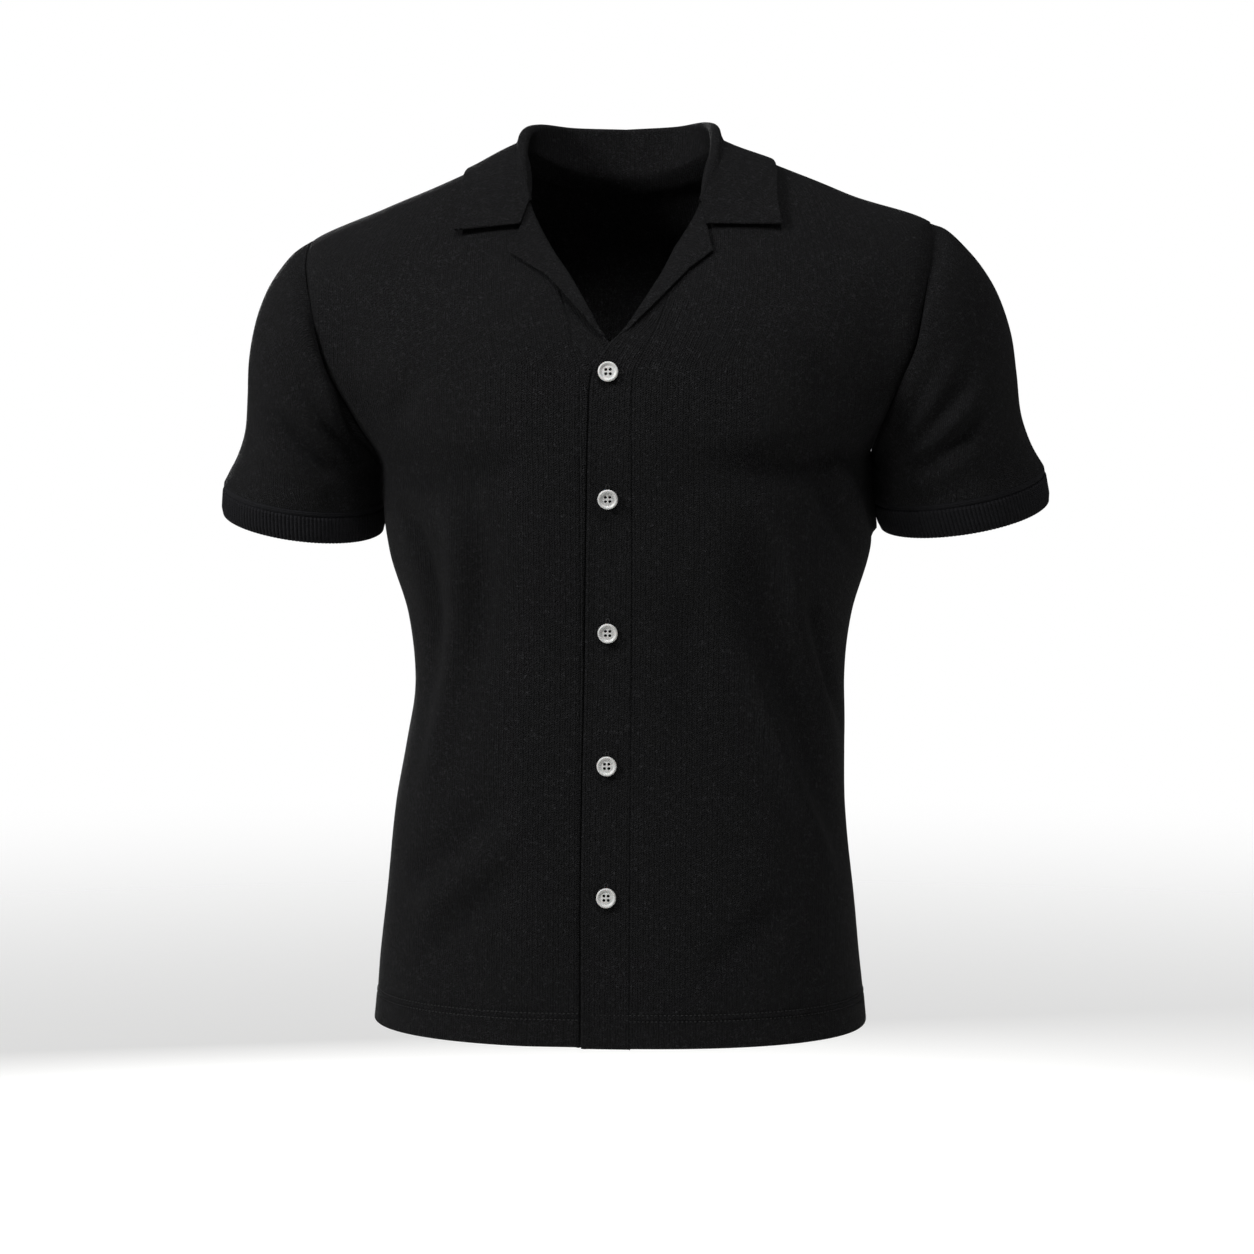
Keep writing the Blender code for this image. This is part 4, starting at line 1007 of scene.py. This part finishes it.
makeSleeves()
makeCuffs(ribTree())
print("sleeves and cuffs made")

# Stitches
stitch = {"length": 0.0022, "width": 0.0008, "height": 0.0007, "spacing": 0.0031}


def stitchTree():
    # lays stitches along a line: every point's "up" is the cloth's normal there
    tree = bpy.data.node_groups.new("stitches", "GeometryNodeTree")
    tree.interface.new_socket("Geometry", in_out="INPUT", socket_type="NodeSocketGeometry")
    for name in ("Length", "Width", "Height", "Spacing", "Turn"):
        tree.interface.new_socket(name, in_out="INPUT", socket_type="NodeSocketFloat")
    tree.interface.new_socket("Material", in_out="INPUT", socket_type="NodeSocketMaterial")
    tree.interface.new_socket("Geometry", in_out="OUTPUT", socket_type="NodeSocketGeometry")
    given = addNode(tree, "NodeGroupInput")
    curve = addNode(tree, "GeometryNodeMeshToCurve", {"Mesh": given.outputs["Geometry"]}).outputs["Curve"]
    points = addNode(tree, "GeometryNodeCurveToPoints", {"Curve": curve, "Length": given.outputs["Spacing"]}, mode="LENGTH")
    up = addNode(tree, "GeometryNodeInputNamedAttribute", {"Name": "up"}, data_type="FLOAT_VECTOR").outputs["Attribute"]
    aim = addNode(tree, "FunctionNodeAxesToRotation", {"Primary Axis": points.outputs["Tangent"], "Secondary Axis": up},
                  primary_axis="X", secondary_axis="Z").outputs["Rotation"]
    spin = addNode(tree, "FunctionNodeAxisAngleToRotation", {"Axis": (0.0, 0.0, 1.0), "Angle": given.outputs["Turn"]})
    aim = addNode(tree, "FunctionNodeRotateRotation", {0: aim, 1: spin.outputs[0]}, rotation_space="LOCAL").outputs[0]
    size = addNode(tree, "ShaderNodeCombineXYZ", {0: given.outputs["Length"], 1: given.outputs["Width"],
                                                  2: given.outputs["Height"]}).outputs[0]
    bead = addNode(tree, "GeometryNodeMeshUVSphere", {"Segments": 8, "Rings": 5, "Radius": 0.5}).outputs["Mesh"]
    placed = addNode(tree, "GeometryNodeInstanceOnPoints", {"Points": points.outputs["Points"], "Instance": bead,
                                                           "Rotation": aim, "Scale": size})
    whole = addNode(tree, "GeometryNodeRealizeInstances", {"Geometry": placed.outputs["Instances"]})
    smooth = addNode(tree, "GeometryNodeSetShadeSmooth", {0: whole.outputs["Geometry"]})
    done = addNode(tree, "GeometryNodeSetMaterial", {"Geometry": smooth.outputs[0], "Material": given.outputs["Material"]})
    addNode(tree, "NodeGroupOutput", {"Geometry": done.outputs["Geometry"]})
    return tree


def guideLines(name, runs):
    # a wire mesh of several lines, each given as (points, normals, closed)
    vertices, edges, ups = [], [], []
    for points, normals, closed in runs:
        first = len(vertices)
        vertices += points.tolist()
        ups += normals.tolist()
        edges += [(first + k, first + k + 1) for k in range(len(points) - 1)]
        if closed:
            edges.append((first + len(points) - 1, first))
    mesh = bpy.data.meshes.new(name)
    mesh.from_pydata(vertices, edges, [])
    mesh.attributes.new("up", "FLOAT_VECTOR", "POINT").data.foreach_set("vector", np.array(ups, np.float32).ravel())
    obj = bpy.data.objects.new(name, mesh)
    bpy.context.scene.collection.objects.link(obj)
    return obj


def makeHemStitches(tree):
    runs = []
    levels = rowLevels() - form["hem"]
    for row in (hemDetail["depth"], hemDetail["depth"] - hemDetail["rowGap"]):
        i = int(np.argmin(np.abs(levels - row)))
        for grid in hemRows.values():
            normals = gridNormals(grid)[i]
            runs.append((grid[i] + normals * 0.00030, normals, False))
        # on across the left band
        strip = form["hem"] + row + np.array([[-0.001], [0.0], [0.001]]) + np.zeros((1, 24))
        level, angle = onFront(np.linspace(-0.0160, 0.0155, 24)[None, :] + 0.0 * strip, strip)
        strip = settle(bodyPoints(level, angle))
        normals = gridNormals(strip)[1]
        normals = normals * np.where(normals[:, 1:2] > 0.0, -1.0, 1.0)
        runs.append((strip[1] + normals * 0.00030, normals, False))
    obj = guideLines("hemStitches", runs)
    grown(obj, tree, {"Length": stitch["length"], "Width": stitch["width"], "Height": stitch["height"],
                      "Spacing": stitch["spacing"], "Turn": 0.0, "Material": threadMaterial})
    hand(obj, "knit")


threadTree = stitchTree()
makeHemStitches(threadTree)
print("hem stitched")

# Buttons and buttonholes
button = {
    "heights": (-0.1703, -0.2599, -0.3565, -0.4528, -0.5477), "lift": 0.0004,
    # (radius, rise) of the turned face, from the flat back round the rim to the dished middle
    "profile": [(0.0000, 0.0000), (0.0046, 0.0000), (0.0054, 0.0001), (0.0062, 0.0004), (0.0068, 0.0008),
                (0.00715, 0.0013), (0.0072, 0.0018), (0.0070, 0.0023), (0.00665, 0.00265), (0.0062, 0.0028),
                (0.0058, 0.00268), (0.0054, 0.0022), (0.0051, 0.0017), (0.0047, 0.0015), (0.0040, 0.00155),
                (0.0028, 0.0018), (0.0000, 0.0018)],
    "around": 64, "hole": 0.00112, "holeAt": 0.0022, "holeBevel": 0.0002,
}
buttonhole = {"half": 0.0088, "wide": 0.0011, "stitch": 0.0013, "spacing": 0.00055}


def frontPlace(height):
    # where a button lies on the left band: its foot and its side, up and outward directions
    spots = np.array([(0.0, height), (0.006, height), (-0.006, height), (0.0, height + 0.006), (0.0, height - 0.006)])
    p = settle(bodyPoints(*onFront(spots[:, 0], spots[:, 1])))
    side, up = unit(p[1] - p[2]), unit(p[3] - p[4])
    out = unit(np.cross(side, up))
    return p[0], side, np.cross(out, side), out


def lathe(profile, around):
    vertices, faces = [], []
    for radius, rise in profile[1:-1]:
        vertices += [(radius * math.cos(2 * math.pi * k / around), radius * math.sin(2 * math.pi * k / around), rise)
                     for k in range(around)]
    for i in range(len(profile) - 3):
        for k in range(around):
            a, b = i * around + k, i * around + (k + 1) % around
            faces.append((a, b, b + around, a + around))
    faces.append(tuple(range(around))[::-1])
    faces.append(tuple(range(len(vertices) - around, len(vertices))))
    return vertices, faces


def linkMesh(name, vertices, faces, material=None):
    mesh = bpy.data.meshes.new(name)
    mesh.from_pydata(vertices, [], faces)
    if material:
        mesh.materials.append(material)
    obj = bpy.data.objects.new(name, mesh)
    bpy.context.scene.collection.objects.link(obj)
    return obj


def buttonMesh():
    blank = linkMesh("buttonBlank", *lathe(button["profile"], button["around"]), resinMaterial)
    r, bevel = button["hole"], button["holeBevel"]
    profile = [(0, -0.001), (r, -0.001), (r, 0.0018 - bevel), (r + bevel, 0.0018 + 0.5 * bevel), (r + bevel, 0.004), (0, 0.004)]
    for k in range(4):
        vertices, faces = lathe(profile, 20)
        turn = math.pi * (0.25 + 0.5 * k)
        x, y = button["holeAt"] * math.cos(turn), button["holeAt"] * math.sin(turn)
        cutter = linkMesh("holeCutter", [(vx + x, vy + y, vz) for vx, vy, vz in vertices], faces)
        cut = blank.modifiers.new("hole", "BOOLEAN")
        cut.operation, cut.object = "DIFFERENCE", cutter
    graph = bpy.context.evaluated_depsgraph_get()
    mesh = bpy.data.meshes.new_from_object(blank.evaluated_get(graph))
    for obj in [cut.object for cut in blank.modifiers] + [blank]:
        bpy.data.objects.remove(obj)
    mesh.shade_smooth()
    mesh.set_sharp_from_angle(angle=math.radians(50))
    return mesh


def makeButtons():
    turned = buttonMesh()
    for number, height in enumerate(button["heights"], 1):
        foot, side, up, out = frontPlace(height)
        foot = foot + out * button["lift"]
        mesh = turned.copy()
        mesh.transform(matrixOf(side, up, out, foot))
        obj = bpy.data.objects.new(f"button.{number}", mesh)
        bpy.context.scene.collection.objects.link(obj)
        hand(obj, "button", f"button_{number}")


def matrixOf(side, up, out, foot):
    rows = [[side[k], up[k], out[k], foot[k]] for k in range(3)] + [[0.0, 0.0, 0.0, 1.0]]
    return Matrix(rows)


def makeButtonThread():
    # the thread that fills the holes and holds the button off the cloth
    vertices, faces = [], []
    for height in button["heights"]:
        foot, side, up, out = frontPlace(height)
        for k in range(4):
            turn = math.pi * (0.25 + 0.5 * k)
            x, y = button["holeAt"] * math.cos(turn), button["holeAt"] * math.sin(turn)
            first = len(vertices)
            for radius, rise in ((0.0004, -0.0006), (0.0007, 0.0), (0.0007, 0.0003), (0.0003, 0.0006)):
                for j in range(12):
                    a = 2.0 * math.pi * j / 12
                    spot = foot + side * (x + radius * math.cos(a)) + up * (y + radius * math.sin(a)) + out * rise
                    vertices.append(tuple(spot))
            for i in range(3):
                for j in range(12):
                    a, b = first + i * 12 + j, first + i * 12 + (j + 1) % 12
                    faces.append((a, b, b + 12, a + 12))
            faces.append(tuple(range(first, first + 12))[::-1])
            faces.append(tuple(range(first + 36, first + 48)))
    obj = linkMesh("buttonThread", vertices, faces, threadMaterial)
    obj.data.shade_smooth()
    hand(obj, "knit")


def makeButtonholes(tree):
    # the first one lies across, the others run up and down; each is just longer than its button. The dark thread stands
    # in for the slit's shadow as painted shade
    runs = []
    for number, height in enumerate(button["heights"]):
        half, wide = buttonhole["half"], buttonhole["wide"]
        turns = np.linspace(0.0, 2.0 * math.pi, 80, endpoint=False)
        long, short = np.sign(np.cos(turns)) * (half - wide) + wide * np.cos(turns), wide * np.sin(turns)
        shift = 0.0016
        x, z = (long + shift, short) if number == 0 else (short, long + shift)
        level, angle = onFront(x, height + z)
        points = settle(bodyPoints(level, angle, np.full(level.shape, 0.0001)))
        normals = np.broadcast_to(frontPlace(height)[3], points.shape)
        runs.append((points, normals, True))
    obj = guideLines("buttonholes", runs)
    grown(obj, tree, {"Length": buttonhole["stitch"], "Width": 0.0005, "Height": 0.0004, "Spacing": buttonhole["spacing"],
                      "Turn": 0.5 * math.pi, "Material": threadMaterial})
    hand(obj, "knit")


makeButtons()
makeButtonThread()
makeButtonholes(threadTree)
print("buttons sewn")

# Stage, light and camera
studio = {
    "floor": -1.35, "floorRadius": 9.0, "paper": "#f4f4f2", "floorGlow": 0.44,
    "target": (0.006, 0.0, -0.3615), "distance": 2.4, "azimuth": 4.5, "elevation": 4.8, "field": 0.9405,
    # name, place, aim, size, power
    "lights": [
        ("keySoftbox", (-1.60, -1.10, 0.90), (0.0, 0.0, -0.10), 0.6, 38.0),
        ("fillSoftbox", (2.4, -1.4, 0.6), (0.0, 0.0, -0.35), 0.9, 5.0),
        ("backSoftbox", (-0.7, 2.7, 0.3), (0.0, 0.0, -0.35), 1.4, 95.0),
        ("overhead", (0.15, -1.00, 1.60), (0.0, 0.0, -0.10), 0.5, 23.0),
    ],
    "ambient": 0.11,
}


def aimed(obj, place, aim):
    obj.location = place
    obj.rotation_euler = (Vector(aim) - Vector(place)).to_track_quat("-Z", "Y").to_euler()
    bpy.context.scene.collection.objects.link(obj)


def makeFloor():
    around, radii = 96, (0.5, 2.0, 4.0, 6.5, studio["floorRadius"])
    vertices, faces = [(0.0, 0.0, studio["floor"])], []
    for radius in radii:
        vertices += [(radius * math.cos(2 * math.pi * k / around), radius * math.sin(2 * math.pi * k / around),
                      studio["floor"]) for k in range(around)]
    for k in range(around):
        faces.append((0, 1 + k, 1 + (k + 1) % around))
        for i in range(len(radii) - 1):
            a, b = 1 + i * around + k, 1 + i * around + (k + 1) % around
            faces.append((a, a + around, b + around, b))
    # matt background paper that fades into the white surround far away
    material, tree, shader = newMaterial("background_paper")
    shader.inputs["Base Color"].default_value = colour(studio["paper"])
    shader.inputs["Roughness"].default_value = 0.95
    shader.inputs["Specular IOR Level"].default_value = 0.1
    place = addNode(tree, "ShaderNodeTexCoord").outputs["Object"]
    far = addNode(tree, "ShaderNodeVectorMath", {0: place}, operation="LENGTH").outputs["Value"]
    fade = addNode(tree, "ShaderNodeMapRange", {"Value": far, "From Min": 2.2, "From Max": 6.5, "To Min": 1.0,
                                               "To Max": 0.0}, interpolation_type="SMOOTHSTEP").outputs["Result"]
    tree.links.new(fade, shader.inputs["Alpha"])
    # the paper is lit evenly from below for the picture
    glow = addNode(tree, "ShaderNodeLightPath").outputs["Is Camera Ray"]
    glow = addNode(tree, "ShaderNodeMath", {0: glow, 1: studio["floorGlow"]}, operation="MULTIPLY").outputs[0]
    shader.inputs["Emission Color"].default_value = (1.0, 1.0, 1.0, 1.0)
    tree.links.new(glow, shader.inputs["Emission Strength"])
    linkMesh("floor", vertices, faces, material)


def makeLights():
    for name, place, aim, size, power in studio["lights"]:
        light = bpy.data.lights.new(name, "AREA")
        light.shape, light.size, light.energy = "DISK", size, power
        aimed(bpy.data.objects.new(name, light), place, aim)
    world = bpy.data.worlds.new("studio")
    world.use_nodes = True
    tree = world.node_tree
    soft = tree.nodes["Background"]
    soft.inputs["Color"].default_value = (1.0, 1.0, 1.0, 1.0)
    soft.inputs["Strength"].default_value = studio["ambient"]
    seen = addNode(tree, "ShaderNodeBackground", {"Color": (1.0, 1.0, 1.0, 1.0), "Strength": 1.0}).outputs[0]
    path = addNode(tree, "ShaderNodeLightPath").outputs["Is Camera Ray"]
    both = addNode(tree, "ShaderNodeMixShader", {0: path, 1: soft.outputs[0], 2: seen}).outputs[0]
    tree.links.new(both, tree.nodes["World Output"].inputs["Surface"])
    bpy.context.scene.world = world


def makeCamera():
    a, e = math.radians(studio["azimuth"]), math.radians(studio["elevation"])
    back = np.array([math.sin(a) * math.cos(e), -math.cos(a) * math.cos(e), math.sin(e)])
    lens = bpy.data.cameras.new("camera")
    lens.sensor_width = 36.0
    lens.lens = 36.0 * studio["distance"] / studio["field"]
    camera = bpy.data.objects.new("camera", lens)
    place = np.array(studio["target"]) + back * studio["distance"]
    aimed(camera, tuple(place), studio["target"])
    bpy.context.scene.camera = camera
    bpy.context.scene.view_settings.view_transform = "Standard"


makeFloor()
makeLights()
makeCamera()
print("studio made")
